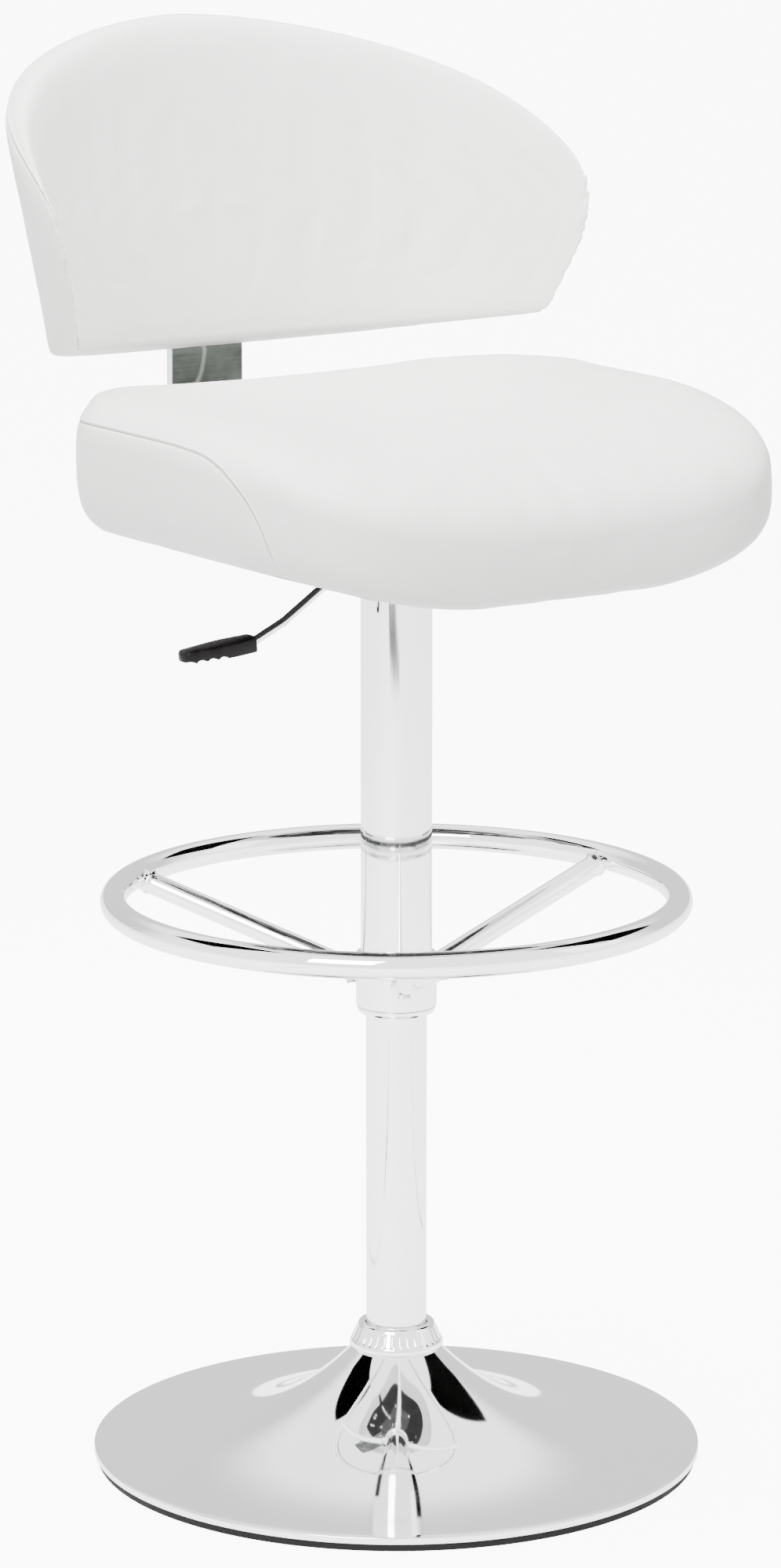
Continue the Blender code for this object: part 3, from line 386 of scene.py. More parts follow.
def rubber():
    """Black floor rubber with a little dust."""
    look = Look("floor_rubber", (0.006, 0.006, 0.006), 0.8)
    dust = look.noise(60.0, 5.0)
    look.colour_from(look.colours(dust, (0.35, (0.004, 0.004, 0.004)), (0.8, (0.015, 0.015, 0.0145))))
    look.roughness_from(look.ranged(dust, 0.3, 0.8, 0.65, 0.90))
    look.shader.inputs["Specular IOR Level"].default_value = 0.2
    look.bump(look.cells(600.0), 0.0001, 0.5)
    return look.material


def zinc_steel():
    """Zinc plate with a fine spangle."""
    look = Look("zinc_plated_steel", (0.55, 0.56, 0.58), 0.32, 1.0)
    spangle = look.cells(240.0)
    look.colour_from(look.colours(spangle, (0.0, (0.46, 0.47, 0.49)), (0.6, (0.63, 0.64, 0.65))))
    look.roughness_from(look.ranged(look.noise(90.0, 4.0), 0.3, 0.7, 0.24, 0.45))
    look.bump(look.noise(500.0, 3.0), 0.00005, 0.4)
    return look.material


def black_paint():
    """Black powder coat, worn lighter in places."""
    look = Look("black_powder_coat", (0.02, 0.02, 0.02), 0.45)
    wear = look.noise(25.0, 5.0)
    look.colour_from(look.colours(wear, (0.4, (0.015, 0.015, 0.016)), (0.85, (0.05, 0.05, 0.052))))
    look.roughness_from(look.ranged(wear, 0.3, 0.8, 0.36, 0.55))
    look.bump(look.noise(420.0, 2.0), 0.00012, 0.5)
    return look.material


def black_plastic(name, roughness):
    """Moulded black plastic with a fine spark-eroded texture and rubbed high spots."""
    look = Look(name, (0.006, 0.006, 0.006), roughness)
    rub = look.noise(70.0, 4.0)
    look.colour_from(look.colours(rub, (0.4, (0.004, 0.0035, 0.0035)), (0.8, (0.012, 0.010, 0.010))))
    look.roughness_from(look.ranged(rub, 0.3, 0.8, roughness - 0.08, roughness + 0.1))
    look.shader.inputs["Specular IOR Level"].default_value = 0.10
    look.bump(look.noise(1200.0, 2.0), 0.00006, 0.6)
    return look.material


def cast_iron():
    """Rough iron with a breath of rust."""
    look = Look("ballast_iron", (0.06, 0.06, 0.06), 0.7, 0.6)
    rust = look.noise(35.0, 6.0)
    look.colour_from(look.colours(rust, (0.45, (0.05, 0.05, 0.05)), (0.75, (0.11, 0.075, 0.05))))
    look.bump(look.noise(220.0, 5.0), 0.0003, 0.8)
    return look.material


def plywood():
    """Moulded beech plies with a long grain."""
    look = Look("moulded_plywood", (0.60, 0.46, 0.30), 0.6)
    grain = look.noise(28.0, 6.0, look.stretched((0.12, 1.0, 8.0)), 0.6, 1.2)
    ply = ((0.3, (0.42, 0.29, 0.17)), (0.5, (0.60, 0.45, 0.29)), (0.72, (0.72, 0.58, 0.41)))
    look.colour_from(look.colours(grain, *ply))
    look.bump(grain, 0.0002, 0.6)
    return look.material


def dust_cloth():
    """Thin black cloth of matted fibres."""
    look = Look("dust_cloth", (0.015, 0.015, 0.015), 0.9)
    fibre = look.noise(900.0, 5.0, look.stretched((1.0, 0.3, 1.0)), 0.7, 2.0)
    look.colour_from(look.colours(fibre, (0.35, (0.010, 0.010, 0.010)), (0.7, (0.045, 0.045, 0.045))))
    look.shader.inputs["Specular IOR Level"].default_value = 0.1
    look.bump(fibre, 0.0002, 0.8)
    return look.material


LOOKS = {
    "chrome": chrome(),
    "rubber": rubber(),
    "cast_iron": cast_iron(),
    "zinc_steel": zinc_steel(),
    "black_steel": black_paint(),
    "black_nylon": black_plastic("black_nylon_moulding", 0.45),
    "black_plastic": black_plastic("black_grip_plastic", 0.38),
    "brushed_steel": brushed_steel(),
    "plywood": plywood(),
    "black_cloth": dust_cloth(),
    "white_leatherette": leatherette(),
}
THREAD = thread()
# thread painted dark with the shade of the holes it lies in
PAINTED_SHADE_THREAD = painted_shade_thread()


def dress_cad_nodes():
    """Give each CAD node the look of its material slot."""
    for subpart in frame["record"]["subparts"]:
        node = frame["nodes"][subpart["node"]]
        material = LOOKS[subpart["material_slot"]]
        node.data.materials.clear()
        node.data.materials.append(material)


# ---------------------------------------------------------------- making pieces
def bridge(shape, rings, closed=False, capped=False):
    """Join each ring of vertices to the next with quads, and cap the first and the last."""
    following = rings[1:] + rings[:1] if closed else rings[1:]
    for low, high in zip(rings, following):
        count = len(low)
        for step in range(count):
            after = (step + 1) % count
            shape.faces.new([low[step], low[after], high[after], high[step]])
    if capped:
        shape.faces.new(rings[0])
        shape.faces.new(rings[-1])
    return shape


def piece(name, shape, body, slot, replaces=(), material=None, smooth_angle=35.0):
    """Link a bmesh as a piece that rides on a body."""
    bmesh.ops.recalc_face_normals(shape, faces=shape.faces)
    mesh = bpy.data.meshes.new(name)
    shape.to_mesh(mesh)
    shape.free()
    mesh.materials.append(material or LOOKS[slot])
    mesh.shade_smooth()
    if smooth_angle:
        mesh.set_sharp_from_angle(angle=math.radians(smooth_angle))
    made = bpy.data.objects.new(name, mesh)
    bpy.context.collection.objects.link(made)
    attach(made, body)
    if replaces:
        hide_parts(*replaces)
    return made


def turned_shape(outline, segments):
    """Turn a closed outline of (radius, height) about Z."""
    shape = bmesh.new()
    rings = []
    for radius, height in outline:
        ring = []
        for step in range(segments):
            angle = 2 * math.pi * step / segments
            ring.append(shape.verts.new((radius * math.cos(angle), radius * math.sin(angle), height)))
        rings.append(ring)
    return bridge(shape, rings, closed=True)


def rounded(outline, radius, steps=4):
    """Round every corner of a closed outline, and keep the straight runs between straight in shading."""
    result = []
    count = len(outline)
    for index in range(count):
        corner = Vector(outline[index])
        before = Vector(outline[index - 1]) - corner
        after = Vector(outline[(index + 1) % count]) - corner
        reach = min(radius, before.length * 0.45, after.length * 0.45)
        start = corner + before.normalized() * reach
        end = corner + after.normalized() * reach
        if before.length > 6 * radius:
            result.append(corner + before.normalized() * 2 * reach)
        for step in range(steps + 1):
            t = step / steps
            result.append(start * (1 - t) ** 2 + corner * 2 * t * (1 - t) + end * t**2)
        if after.length > 6 * radius:
            result.append(corner + after.normalized() * 2 * reach)
    return [(point.x, point.y) for point in result]


def swept_shape(path, section, side):
    """Sweep a closed section of (sideways, upward) offsets along a path."""
    shape = bmesh.new()
    rings = []
    for index, point in enumerate(path):
        before = path[max(index - 1, 0)]
        after = path[min(index + 1, len(path) - 1)]
        along = (after - before).normalized()
        up = side.cross(along).normalized()
        across = along.cross(up)
        rings.append([shape.verts.new(point + across * a + up * b) for a, b in section])
    return bridge(shape, rings, capped=True)


def circle(radius, sides):
    """Points round a circle, as pairs."""
    turns = [2 * math.pi * step / sides for step in range(sides)]
    return [(radius * math.cos(turn), radius * math.sin(turn)) for turn in turns]


def arc(centre, radius, start, end, steps):
    """Points of an arc in the YZ plane, with angles from +Y towards +Z."""
    turns = [start + (end - start) * step / steps for step in range(steps + 1)]
    return [centre + Vector((0.0, radius * math.cos(turn), radius * math.sin(turn))) for turn in turns]


def smooth_route(points, bend, steps=6):
    """Straight runs between points, with each inner corner rounded."""
    route = [points[0]]
    for before, corner, after in zip(points, points[1:], points[2:]):
        incoming = (before - corner).normalized() * bend
        outgoing = (after - corner).normalized() * bend
        for step in range(steps + 1):
            t = step / steps
            route.append(corner + incoming * (1 - t) ** 2 + outgoing * t**2)
    route.append(points[-1])
    return route


# ---------------------------------------------------------------- base and column
def make_base_shell():
    """A pressed sheet: a shallow cone that flares up into the neck, with a rolled rim."""
    low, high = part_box("base_shell")
    radius = high[0]
    run = radius - SHELL_NECK_RADIUS
    rise = SHELL_NECK_TOP - SHELL_RIM_TOP
    steps = 70
    outer = []
    for step in range(steps + 1):
        share = (1 - step / steps) ** 0.8
        flare = (rise - SHELL_CONE_RISE) * share**FLARE_POWER
        outer.append((radius - run * share, SHELL_RIM_TOP + SHELL_CONE_RISE * share + flare))
    rim_low = low[2]
    wall = SHELL_WALL
    outer[-1] = (radius - wall, SHELL_RIM_TOP)
    rim = [
        (radius - 0.45 * wall, SHELL_RIM_TOP - 0.12 * wall),
        (radius - 0.12 * wall, SHELL_RIM_TOP - 0.45 * wall),
        (radius, SHELL_RIM_TOP - wall),
        (radius, rim_low + 0.0004),
        (radius - 0.0004, rim_low),
        (radius - wall, rim_low),
        (radius - wall, SHELL_RIM_TOP - 1.3 * wall),
    ]
    inner = []
    for r, h in outer[:-1:5]:
        flare = (rise - SHELL_CONE_RISE) * FLARE_POWER * max((radius - r) / run, 0.0) ** (FLARE_POWER - 1)
        steepness = (SHELL_CONE_RISE + flare) / run
        inner.append((r, h - wall * math.sqrt(1 + steepness**2)))
    shape = turned_shape(outer + rim + inner[::-1], DISC_STEPS)
    piece("base_shell_plated", shape, "base", "chrome", ["base_shell"])


def make_floor_pad():
    """A rubber disc with a raised lip that holds the rim of the shell."""
    low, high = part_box("floor_pad")
    radius = high[0]
    outline = [
        (PAD_BORE, low[2]), (radius, low[2]), (radius, high[2]), (radius - PAD_LIP, high[2]),
        (radius - PAD_LIP, PAD_FLOOR), (PAD_BORE, PAD_FLOOR),
    ]
    shape = turned_shape(rounded(outline, 0.0006, 3), DISC_STEPS)
    piece("floor_pad_ring", shape, "base", "rubber", ["floor_pad"])


def make_tube(name, node, body, bore):
    """A polished tube with its ends' edges broken."""
    low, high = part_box(node)
    radius = high[0]
    outline = [(bore, low[2]), (radius, low[2]), (radius, high[2]), (bore, high[2])]
    piece(name, turned_shape(rounded(outline, 0.0006), TUBE_STEPS), body, "chrome", [node])


def make_collar():
    """A tapered ring with a plain foot, upright flutes and a rounded top."""
    low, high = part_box("base_collar")
    foot = low[2]
    top = high[2]
    segments = COLLAR_FLUTES * 8
    levels = [  # radius, height and share of the flutes' depth
        (COLLAR_BORE, foot, 0.0), (0.0389, foot, 0.0), (0.0397, foot + 0.0005, 0.0),
        (0.0399, foot + 0.0014, 0.0),
        (0.0393, foot + 0.0050, 0.0), (0.0389, foot + 0.0058, 0.0), (0.0383, foot + 0.0064, 0.1),
        (0.0381, foot + 0.0072, 0.8), (0.0376, foot + 0.0082, 1.0), (0.0343, top - 0.0056, 1.0),
        (0.0338, top - 0.0046, 0.8), (0.0335, top - 0.0040, 0.1), (0.0331, top - 0.0032, 0.0),
        (0.0325, top - 0.0016, 0.0), (0.0314, top - 0.0004, 0.0), (0.0300, top, 0.0), (0.0272, top, 0.0),
        (0.0264, top - 0.0006, 0.0), (COLLAR_BORE, top - 0.0016, 0.0),
    ]
    shape = bmesh.new()
    rings = []
    for radius, height, share in levels:
        ring = []
        for step in range(segments):
            angle = 2 * math.pi * step / segments
            wave = max(0.0, math.cos(COLLAR_FLUTES * angle)) ** 0.6
            reach = radius - FLUTE_DEPTH * share * wave
            ring.append(shape.verts.new((reach * math.cos(angle), reach * math.sin(angle), height)))
        rings.append(ring)
    bridge(shape, rings, closed=True)
    piece("base_collar_fluted", shape, "base", "chrome", ["base_collar"])


def make_hub():
    """The plain hub that carries the spokes, and the cup-shaped ring that closes it below."""
    low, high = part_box("footrest_hub")
    outline = [(HUB_BORE, low[2]), (high[0], low[2]), (high[0], high[2]), (HUB_BORE, high[2])]
    shape = turned_shape(rounded(outline, 0.0012), TUBE_STEPS)
    piece("footrest_hub_turned", shape, "lift", "chrome", ["footrest_hub"])
    low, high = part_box("hub_end_cap")
    top_radius = high[0]
    outline = [
        (CAP_BORE, low[2]), (top_radius - 0.0058, low[2]), (top_radius - 0.0022, low[2] + 0.0012),
        (top_radius - 0.0006, low[2] + 0.0036), (top_radius, high[2] - 0.0006),
        (top_radius - 0.0006, high[2]), (CAP_BORE, high[2]),
    ]
    shape = turned_shape(rounded(outline, 0.0008), TUBE_STEPS)
    piece("hub_end_cap_turned", shape, "lift", "chrome", ["hub_end_cap"])


# ---------------------------------------------------------------- footrest
def make_footrest():
    """The foot ring and its three spokes."""
    outline = [(RING_RADIUS + a, RING_HEIGHT + b) for a, b in circle(RING_TUBE, 40)]
    piece("footrest_ring_bent", turned_shape(outline, DISC_STEPS), "lift", "chrome", ["footrest_ring"])
    for index in range(3):
        turn = SPOKE_FIRST + 2 * math.pi * index / 3
        make_spoke(index + 1, Vector((math.cos(turn), math.sin(turn), 0.0)))


def make_spoke(number, out):
    """A straight rod that swells into a small weld bead at each end."""
    rise = Vector((0.0, 0.0, 1.0))
    start = out * 0.0315 + rise * (SPOKE_HUB_HEIGHT + 0.0005)
    end = out * (RING_RADIUS - 0.0040) + rise * (RING_HEIGHT - 0.0013)
    along = (end - start).normalized()
    side = rise.cross(out).normalized()
    up = side.cross(along).normalized()
    length = (end - start).length
    hub_weld = 0.0075
    ring_weld = length - 0.0100
    shape = bmesh.new()
    sides = 32
    stations = [0.0, 0.003, 0.005, 0.006, 0.007, 0.008, 0.009, 0.010, 0.0115, 0.014, 0.018, 0.10]
    from_ring = (0.018, 0.0145, 0.0130, 0.0118, 0.0108, 0.0098, 0.0088, 0.0078, 0.006, 0.003, 0.0)
    stations += [length - distance for distance in from_ring]
    rings = []
    for station in stations:
        ring = []
        for step in range(sides):
            turn = 2 * math.pi * step / sides
            ripple = 0.0004 * math.sin(7 * turn + 40 * station) + 0.0003 * math.sin(11 * turn)
            bead = 0.0
            for weld, height in ((hub_weld, 0.0026), (ring_weld, 0.0017)):
                bead += (height + ripple) * math.exp(-(((station - weld) / WELD_SPREAD) ** 2))
            reach = SPOKE_RADIUS + bead
            offset = side * (reach * math.cos(turn)) + up * (reach * math.sin(turn))
            ring.append(shape.verts.new(start + along * station + offset))
        rings.append(ring)
    bridge(shape, rings, capped=True)
    name = f"footrest_spoke_welded_{number}"
    piece(name, shape, "lift", "chrome", [f"footrest_spoke_{number}"], smooth_angle=60.0)


# ---------------------------------------------------------------- lever
def make_lever():
    """A bent rod with an eye on its pivot and a flat tongue that presses the valve."""
    points = [
        Vector((0.0250, 0.0, 0.0)), Vector((-0.0375, 0.0, 0.0)), Vector((-0.0483, 0.0, -0.0070)),
        Vector((-0.0814, 0.0, -0.0285)), GRIP_START, GRIP_START + GRIP_RUN * 0.33,
    ]
    route = [LEVER_PIVOT + point for point in smooth_route(points, 0.0035)]
    shape = swept_shape(route, circle(LEVER_RADIUS, 24), Vector((0.0, 1.0, 0.0)))
    eye_end = Vector((0.0, LEVER_EYE_HALF, 0.0))
    eye_axis = [LEVER_PIVOT - eye_end, LEVER_PIVOT + eye_end]
    merge(shape, swept_shape(eye_axis, circle(LEVER_EYE_RADIUS, 32), Vector((1.0, 0.0, 0.0))))
    tongue = bmesh.new()
    bmesh.ops.create_cube(tongue, size=1.0)
    bmesh.ops.scale(tongue, vec=LEVER_TONGUE, verts=tongue.verts)
    bmesh.ops.translate(tongue, vec=LEVER_PIVOT + LEVER_TONGUE_PLACE, verts=tongue.verts)
    bmesh.ops.bevel(tongue, geom=tongue.edges[:], offset=0.0006, segments=2, affect="EDGES")
    merge(shape, tongue)
    piece("lever_rod_bent", shape, "lever", "chrome", ["lever_rod"])
    make_grip()


def merge(shape, other):
    """Add one bmesh to another."""
    mesh = bpy.data.meshes.new("merging")
    other.to_mesh(mesh)
    other.free()
    shape.from_mesh(mesh)
    bpy.data.meshes.remove(mesh)


def make_grip():
    """A flat paddle: rounded end, crowned top, a waist near the rod and four finger notches below."""
    start = LEVER_PIVOT + GRIP_START
    along = GRIP_RUN.normalized()
    up = Vector((0.0, 1.0, 0.0)).cross(along)
    length = GRIP_RUN.length
    steps = 84
    shape = bmesh.new()
    rings = []
    for step in range(steps + 1):
        t = step / steps
        reach = length * t
        end_round = math.sqrt(max(0.0, 1 - max(0.0, (t - 0.90) / 0.10) ** 2.6))
        swell = math.sin(math.pi * min(1.0, t * 1.15)) ** 1.2
        half_width = (0.0088 + 0.0030 * swell) * (0.18 + 0.82 * end_round)
        top = 0.0064 - 0.0008 * t - 0.0040 * (1 - end_round)
        notch = 0.0
        if t > 0.42:
            notch = 0.0022 * abs(math.sin(math.pi * (t - 0.42) / 0.145)) ** 0.7
        low = -0.0068 + notch + 0.0016 * t + 0.0024 * (1 - end_round)
        edge = 0.0018
        cut = 0.3 * edge
        right = [
            (half_width - edge, low), (half_width - cut, low + cut), (half_width, low + edge),
            (half_width, (low + top) / 2), (half_width, top - edge), (half_width - cut, top - cut),
            (half_width - edge, top), (half_width * 0.4, top + 0.0005),
        ]
        left = [(-a, b) for a, b in reversed(right)]
        section = left[-1:] + [(0.0, low)] + right + left[:-1]
        if step == 0:
            section = [(a * 0.93, b * 0.93) for a, b in section]
        middle = start + along * reach
        rings.append([shape.verts.new(middle + up * b + Vector((0.0, a, 0.0))) for a, b in section])
    bridge(shape, rings, capped=True)
    piece("lever_grip_moulded", shape, "lever", "black_plastic", ["lever_grip"], smooth_angle=50.0)


# ---------------------------------------------------------------- back bar
def make_bar():
    """Along under the seat, up in one bend, then leaning back behind the back."""
    level = BAR_TOP - BAR_THICKNESS / 2
    upright = BAR_FRONT_FACE + BAR_THICKNESS / 2
    corner = Vector((0.0, upright - BAR_BEND, level + BAR_BEND))
    lean = Vector((0.0, math.sin(BACK_RECLINE), math.cos(BACK_RECLINE)))
    knee = Vector((0.0, upright, BACK_FOOT.z - 0.0040))
    rise = Vector((0.0, 0.0, 1.0))
    path = [Vector((0.0, BAR_START, level)), corner + Vector((0.0, -0.004, -BAR_BEND))]
    path += arc(corner, BAR_BEND, -math.pi / 2, 0.0, 20)
    path += [corner + Vector((0.0, BAR_BEND, 0.004)), knee - rise * 0.002, knee]
    path += [knee + lean * 0.002, knee + lean * 0.15]
    wide = BAR_HALF_WIDTH
    thick = BAR_THICKNESS / 2
    section = rounded([(-wide, -thick), (wide, -thick), (wide, thick), (-wide, thick)], 0.0009, 2)
    shape = swept_shape(path, section, Vector((-1.0, 0.0, 0.0)))
    piece("back_bar_bent", shape, "lift", "brushed_steel", ["back_bar"], smooth_angle=50.0)


# ---------------------------------------------------------------- cushion skins
def half_moon(base_half, widest_half, shoulder, reach, power, steps, corner_reach=0.0):
    """A half-moon outline as (across, up, roundness) points, counted from the middle of its base."""
    base_steps, side_steps, arch_steps = steps
    points = []
    for step in range(base_steps):
        points.append((base_half * step / base_steps, 0.0, 0.0))
    for step in range(side_steps + 1):
        t = step / side_steps
        leave = t**3 - 2 * t**2 + t
        arrive = t**3 - t**2
        rise = -2 * t**3 + 3 * t**2
        across = base_half + (widest_half - base_half) * (rise + 1.4 * leave)
        up = shoulder * (rise + leave + arrive)
        points.append((across, up, max(0.0, (t - 0.35) / 0.65)))
    for step in range(1, arch_steps + 1):
        turn = math.pi / 2 * step / arch_steps
        across = widest_half * max(math.cos(turn), 0.0) ** (2 / power)
        up = shoulder + (reach - shoulder) * math.sin(turn) ** (2 / power)
        points.append((across, up, 1.0))
    if corner_reach:
        points = corner_cut(points, base_steps, corner_reach)
    mirrored = [(-across, up, roundness) for across, up, roundness in points[1:-1]]
    return points + mirrored[::-1]


def corner_cut(points, corner_index, reach):
    """Round the corner between the straight base and the side."""
    corner = Vector(points[corner_index])
    first = corner_index
    while first > 0 and (Vector(points[first]) - corner).length < reach:
        first -= 1
    last = corner_index
    while (Vector(points[last]) - corner).length < reach:
        last += 1
    start = Vector(points[first])
    end = Vector(points[last])
    curve = []
    for step in range(last - first + 1):
        t = step / (last - first)
        curve.append(tuple(start * (1 - t) ** 2 + corner * 2 * t * (1 - t) + end * t**2))
    return points[:first] + curve + points[last + 1:]


def with_normals(outline):
    """Add to each outline point the direction that faces out of the outline."""
    count = len(outline)
    result = []
    for index, (across, up, roundness) in enumerate(outline):
        before = outline[index - 1]
        after = outline[(index + 1) % count]
        run = Vector((after[0] - before[0], after[1] - before[1])).normalized()
        result.append((across, up, roundness, run.y, -run.x))
    return result


class Skin:
    """The outer surface of one cushion: an outline with a rounded edge between two faces."""

    def __init__(self, outline, lower, upper, edge_depth, squareness, core, place):
        self.points = with_normals(outline)
        self.lower = lower
        self.upper = upper
        self.edge_depth = edge_depth
        self.squareness = squareness
        self.core = core
        self.place = place
        self.widest = lambda up: 0.0  # the level of the outline's widest place
        self.front_depth = lambda up, depth: depth
        self.top_squareness = squareness

    def plan(self, point, level):
        """The place of an outline point, drawn in for a level of -1, underside, to 1, top."""
        across, up, roundness, out_across, out_up = point
        power = self.squareness(roundness)
        widest = self.widest(up)
        depth = self.edge_depth(roundness)
        if level > widest:
            depth = self.front_depth(up, depth)
            power = self.top_squareness(roundness)
            share = (level - widest) / (1 - widest)
        else:
            share = (widest - level) / (1 + widest)
        drawn_in = depth * (1 - max(0.0, 1 - share**power) ** (1 / power))
        a = across - out_across * drawn_in
        b = up - out_up * drawn_in
        middle = (self.lower(a, b) + self.upper(a, b)) / 2
        half = (self.upper(a, b) - self.lower(a, b)) / 2
        return a, b, middle + half * level

    def at(self, point, level):
        """A place on the surface."""
        return Vector(self.place(*self.plan(point, level)))

    def shape(self, steps, inner):
        """A bmesh with rings round the edge, and rings on both faces at shares of the way to the core."""
        levels = []
        for step in range(steps + 1):
            turn = math.pi * (step / steps - 0.5)
            levels.append(math.copysign(abs(math.sin(turn)) ** 0.55, turn))
        edge = [[self.plan(point, level) for point in self.points] for level in levels]
        rings = [[(*self.core, self.lower(*self.core))]]
        for share in reversed(inner):
            rings.append([self.towards_core(corner, share, self.lower) for corner in edge[0]])
        rings += edge
        for share in inner:
            rings.append([self.towards_core(corner, share, self.upper) for corner in edge[-1]])
        rings.append([(*self.core, self.upper(*self.core))])
        return stacked_shape(rings, self.place)

    def towards_core(self, corner, share, surface):
        a = corner[0] + (self.core[0] - corner[0]) * share
        b = corner[1] + (self.core[1] - corner[1]) * share
        return a, b, surface(a, b)


def stacked_shape(rings, place):
    """Join rings into one closed form, of which the first and the last are single points."""
    shape = bmesh.new()
    rows = [[shape.verts.new(place(*corner)) for corner in ring] for ring in rings]
    count = len(rows[1])
    for low, high in zip(rows, rows[1:]):
        for step in range(count):
            after = (step + 1) % count
            corners = [low[step % len(low)], low[after % len(low)]]
            corners += [high[after % len(high)], high[step % len(high)]]
            shape.faces.new(list(dict.fromkeys(corners)))
    return shape


def seat_skin():
    """The seat: flat over the board below, raised along sides and rear, dished, and low in front."""
    reach = SEAT_REAR - SEAT_FRONT

    def underside(across, forward):
        beyond = max(0.0, abs(across) - SEAT_FLAT_HALF) / (SEAT_HALF - SEAT_FLAT_HALF)
        return SEAT_UNDERSIDE + SEAT_UNDER_RISE * beyond**1.7

    def top(across, forward):
        ahead = max(0.0, forward / reach - 0.5) * 2
        level = SEAT_UNDERSIDE + SEAT_THICKNESS - SEAT_WATERFALL * ahead**2
        behind = max(0.0, 1 - forward / SEAT_REAR_BAND)
        side_share = (across / SEAT_HALF) ** 2
        rear_share = SEAT_REAR_SHARE * behind * behind * (3 - 2 * behind)
        level += SEAT_SIDE_RISE * (side_share**3 + rear_share**3) ** (1 / 3)
        ahead_of_dish = forward - SEAT_DISH_MIDDLE * reach
        dish = (across / SEAT_DISH_HALF_WIDTH) ** 2 + (ahead_of_dish / SEAT_DISH_HALF_DEPTH) ** 2
        return level - SEAT_DISH * math.exp(-dish)

    def edge_depth(roundness):
        return SEAT_SIDE_EDGE + (SEAT_FRONT_EDGE - SEAT_SIDE_EDGE) * roundness

    def squareness(roundness):
        return 4.0 + 0.4 * roundness

    def place(across, forward, height):
        return across, SEAT_REAR - forward, height

    outline = half_moon(SEAT_REAR_HALF, SEAT_HALF, SEAT_SHOULDER, reach, SEAT_ARCH_POWER, (30, 28, 70),
                        SEAT_CORNER_REACH)
    skin = Skin(outline, underside, top, edge_depth, squareness, SEAT_CORE, place)
    skin.top_squareness = lambda roundness: SEAT_TOP_SQUARENESS
    return skin


def back_skin():
    """The back: crowned front and rear, bent round the sitter and leaning rearwards."""

    def swell(across, up):
        return max(0.0, 1 - (across / BACK_HALF) ** 2) * max(0.0, 1 - (up / BACK_HEIGHT) ** 2)

    def front(across, up):
        return BACK_EDGE_THICKNESS / 2 + BACK_FRONT_CROWN * swell(across, up)

    def rear(across, up):
        return -BACK_EDGE_THICKNESS / 2 - BACK_REAR_CROWN * swell(across, up)

    def edge_depth(roundness):
        return BACK_EDGE_ROUND * (0.8 + 0.2 * roundness)

    def squareness(roundness):
        return 3.0

    def place(across, up, forward):
        wrap = BACK_WRAP * (1 - BACK_WRAP_EASE * (up / BACK_HEIGHT - 0.5))
        sideways = math.sin(across * wrap) / wrap
        ahead = (1 - math.cos(across * wrap)) / wrap + forward
        return (
            BACK_FOOT.x + sideways,
            BACK_FOOT.y - ahead * math.cos(BACK_RECLINE) + up * math.sin(BACK_RECLINE),
            BACK_FOOT.z + up * math.cos(BACK_RECLINE) + ahead * math.sin(BACK_RECLINE),
        )

    def softness(up):
        """0 along the lower sides and 1 over the arch, where the front rolls over to the rear edge."""
        t = min(1.0, max(0.0, (up - BACK_SOFT_FROM) / BACK_SOFT_RISE))
        return t * t * (3 - 2 * t)

    outline = half_moon(BACK_LOWER_HALF, BACK_HALF, BACK_SHOULDER, BACK_HEIGHT, BACK_ARCH_POWER,
                        (50, 22, 80))
    skin = Skin(outline, rear, front, edge_depth, squareness, BACK_CORE, place)
    skin.widest = lambda up: -0.5 * softness(up)
    skin.front_depth = lambda up, depth: depth + BACK_SOFT_DEPTH * softness(up)
    return skin


def seat_seam(skin):
    """Round the rear at one level, forward along the top of each side, then down in an S to the underside."""
    half = []
    for point in skin.points[: len(skin.points) // 2 + 1]:
        forward = point[1]
        y = SEAT_REAR - forward
        if y >= SEAT_SEAM_TURN:
            half.append(skin.at(point, SEAT_SEAM_LEVEL))
    steps = 24
    power = 2 / SEAT_SEAM_ROUNDNESS
    for step in range(1, steps + 1):
        turn = math.pi / 2 * step / steps
        y = SEAT_SEAM_TURN + (SEAT_SEAM_FOOT - SEAT_SEAM_TURN) * math.sin(turn) ** power
        level = -1 + (1 + SEAT_SEAM_LEVEL) * max(math.cos(turn), 0.0) ** power
        half.append(skin.at(outline_at(skin, SEAT_REAR - y), max(level, -0.97)))
    return mirrored_run(half)


def back_seam(skin):
    """Up the front edge of each side, then rearwards to the rear edge and over the top."""
    half = []
    for point in skin.points[: len(skin.points) // 2 + 1]:
        across, up = point[0], point[1]
        if up <= 0.0 and across < BACK_LOWER_HALF * 0.985:
            continue
        if up < BACK_SEAM_TURN:
            level = BACK_SEAM_LEVEL
        elif up < BACK_SEAM_TURN + BACK_SEAM_RUN:
            level = BACK_SEAM_LEVEL * math.cos(math.pi * (up - BACK_SEAM_TURN) / BACK_SEAM_RUN)
        else:
            level = -BACK_SEAM_LEVEL
        half.append(skin.at(point, level))
    return mirrored_run(half[::-1])


def mirrored_run(half):
    """One run through the middle from a half that starts there on the right."""
    other = [Vector((-point.x, point.y, point.z)) for point in half[1:]]
    return other[::-1] + half


def outline_at(skin, forward):
    """The outline point, on the right-hand side, at a distance forward of the rear edge."""
    half = skin.points[: len(skin.points) // 2 + 1]
    for before, after in zip(half, half[1:]):
        if before[1] <= forward <= after[1] and after[1] > before[1]:
            t = (forward - before[1]) / (after[1] - before[1])
            return tuple(p + (q - p) * t for p, q in zip(before, after))
    return half[-1]


# ---------------------------------------------------------------- soft goods
def evenly(points, spacing):
    """Points at an even spacing along a run."""
    result = [points[0].copy()]
    left = spacing
    for before, after in zip(points, points[1:]):
        length = (after - before).length
        travelled = 0.0
        while length - travelled >= left:
            travelled += left
            result.append(before + (after - before) * (travelled / length))
            left = spacing
        left -= length - travelled
    return result


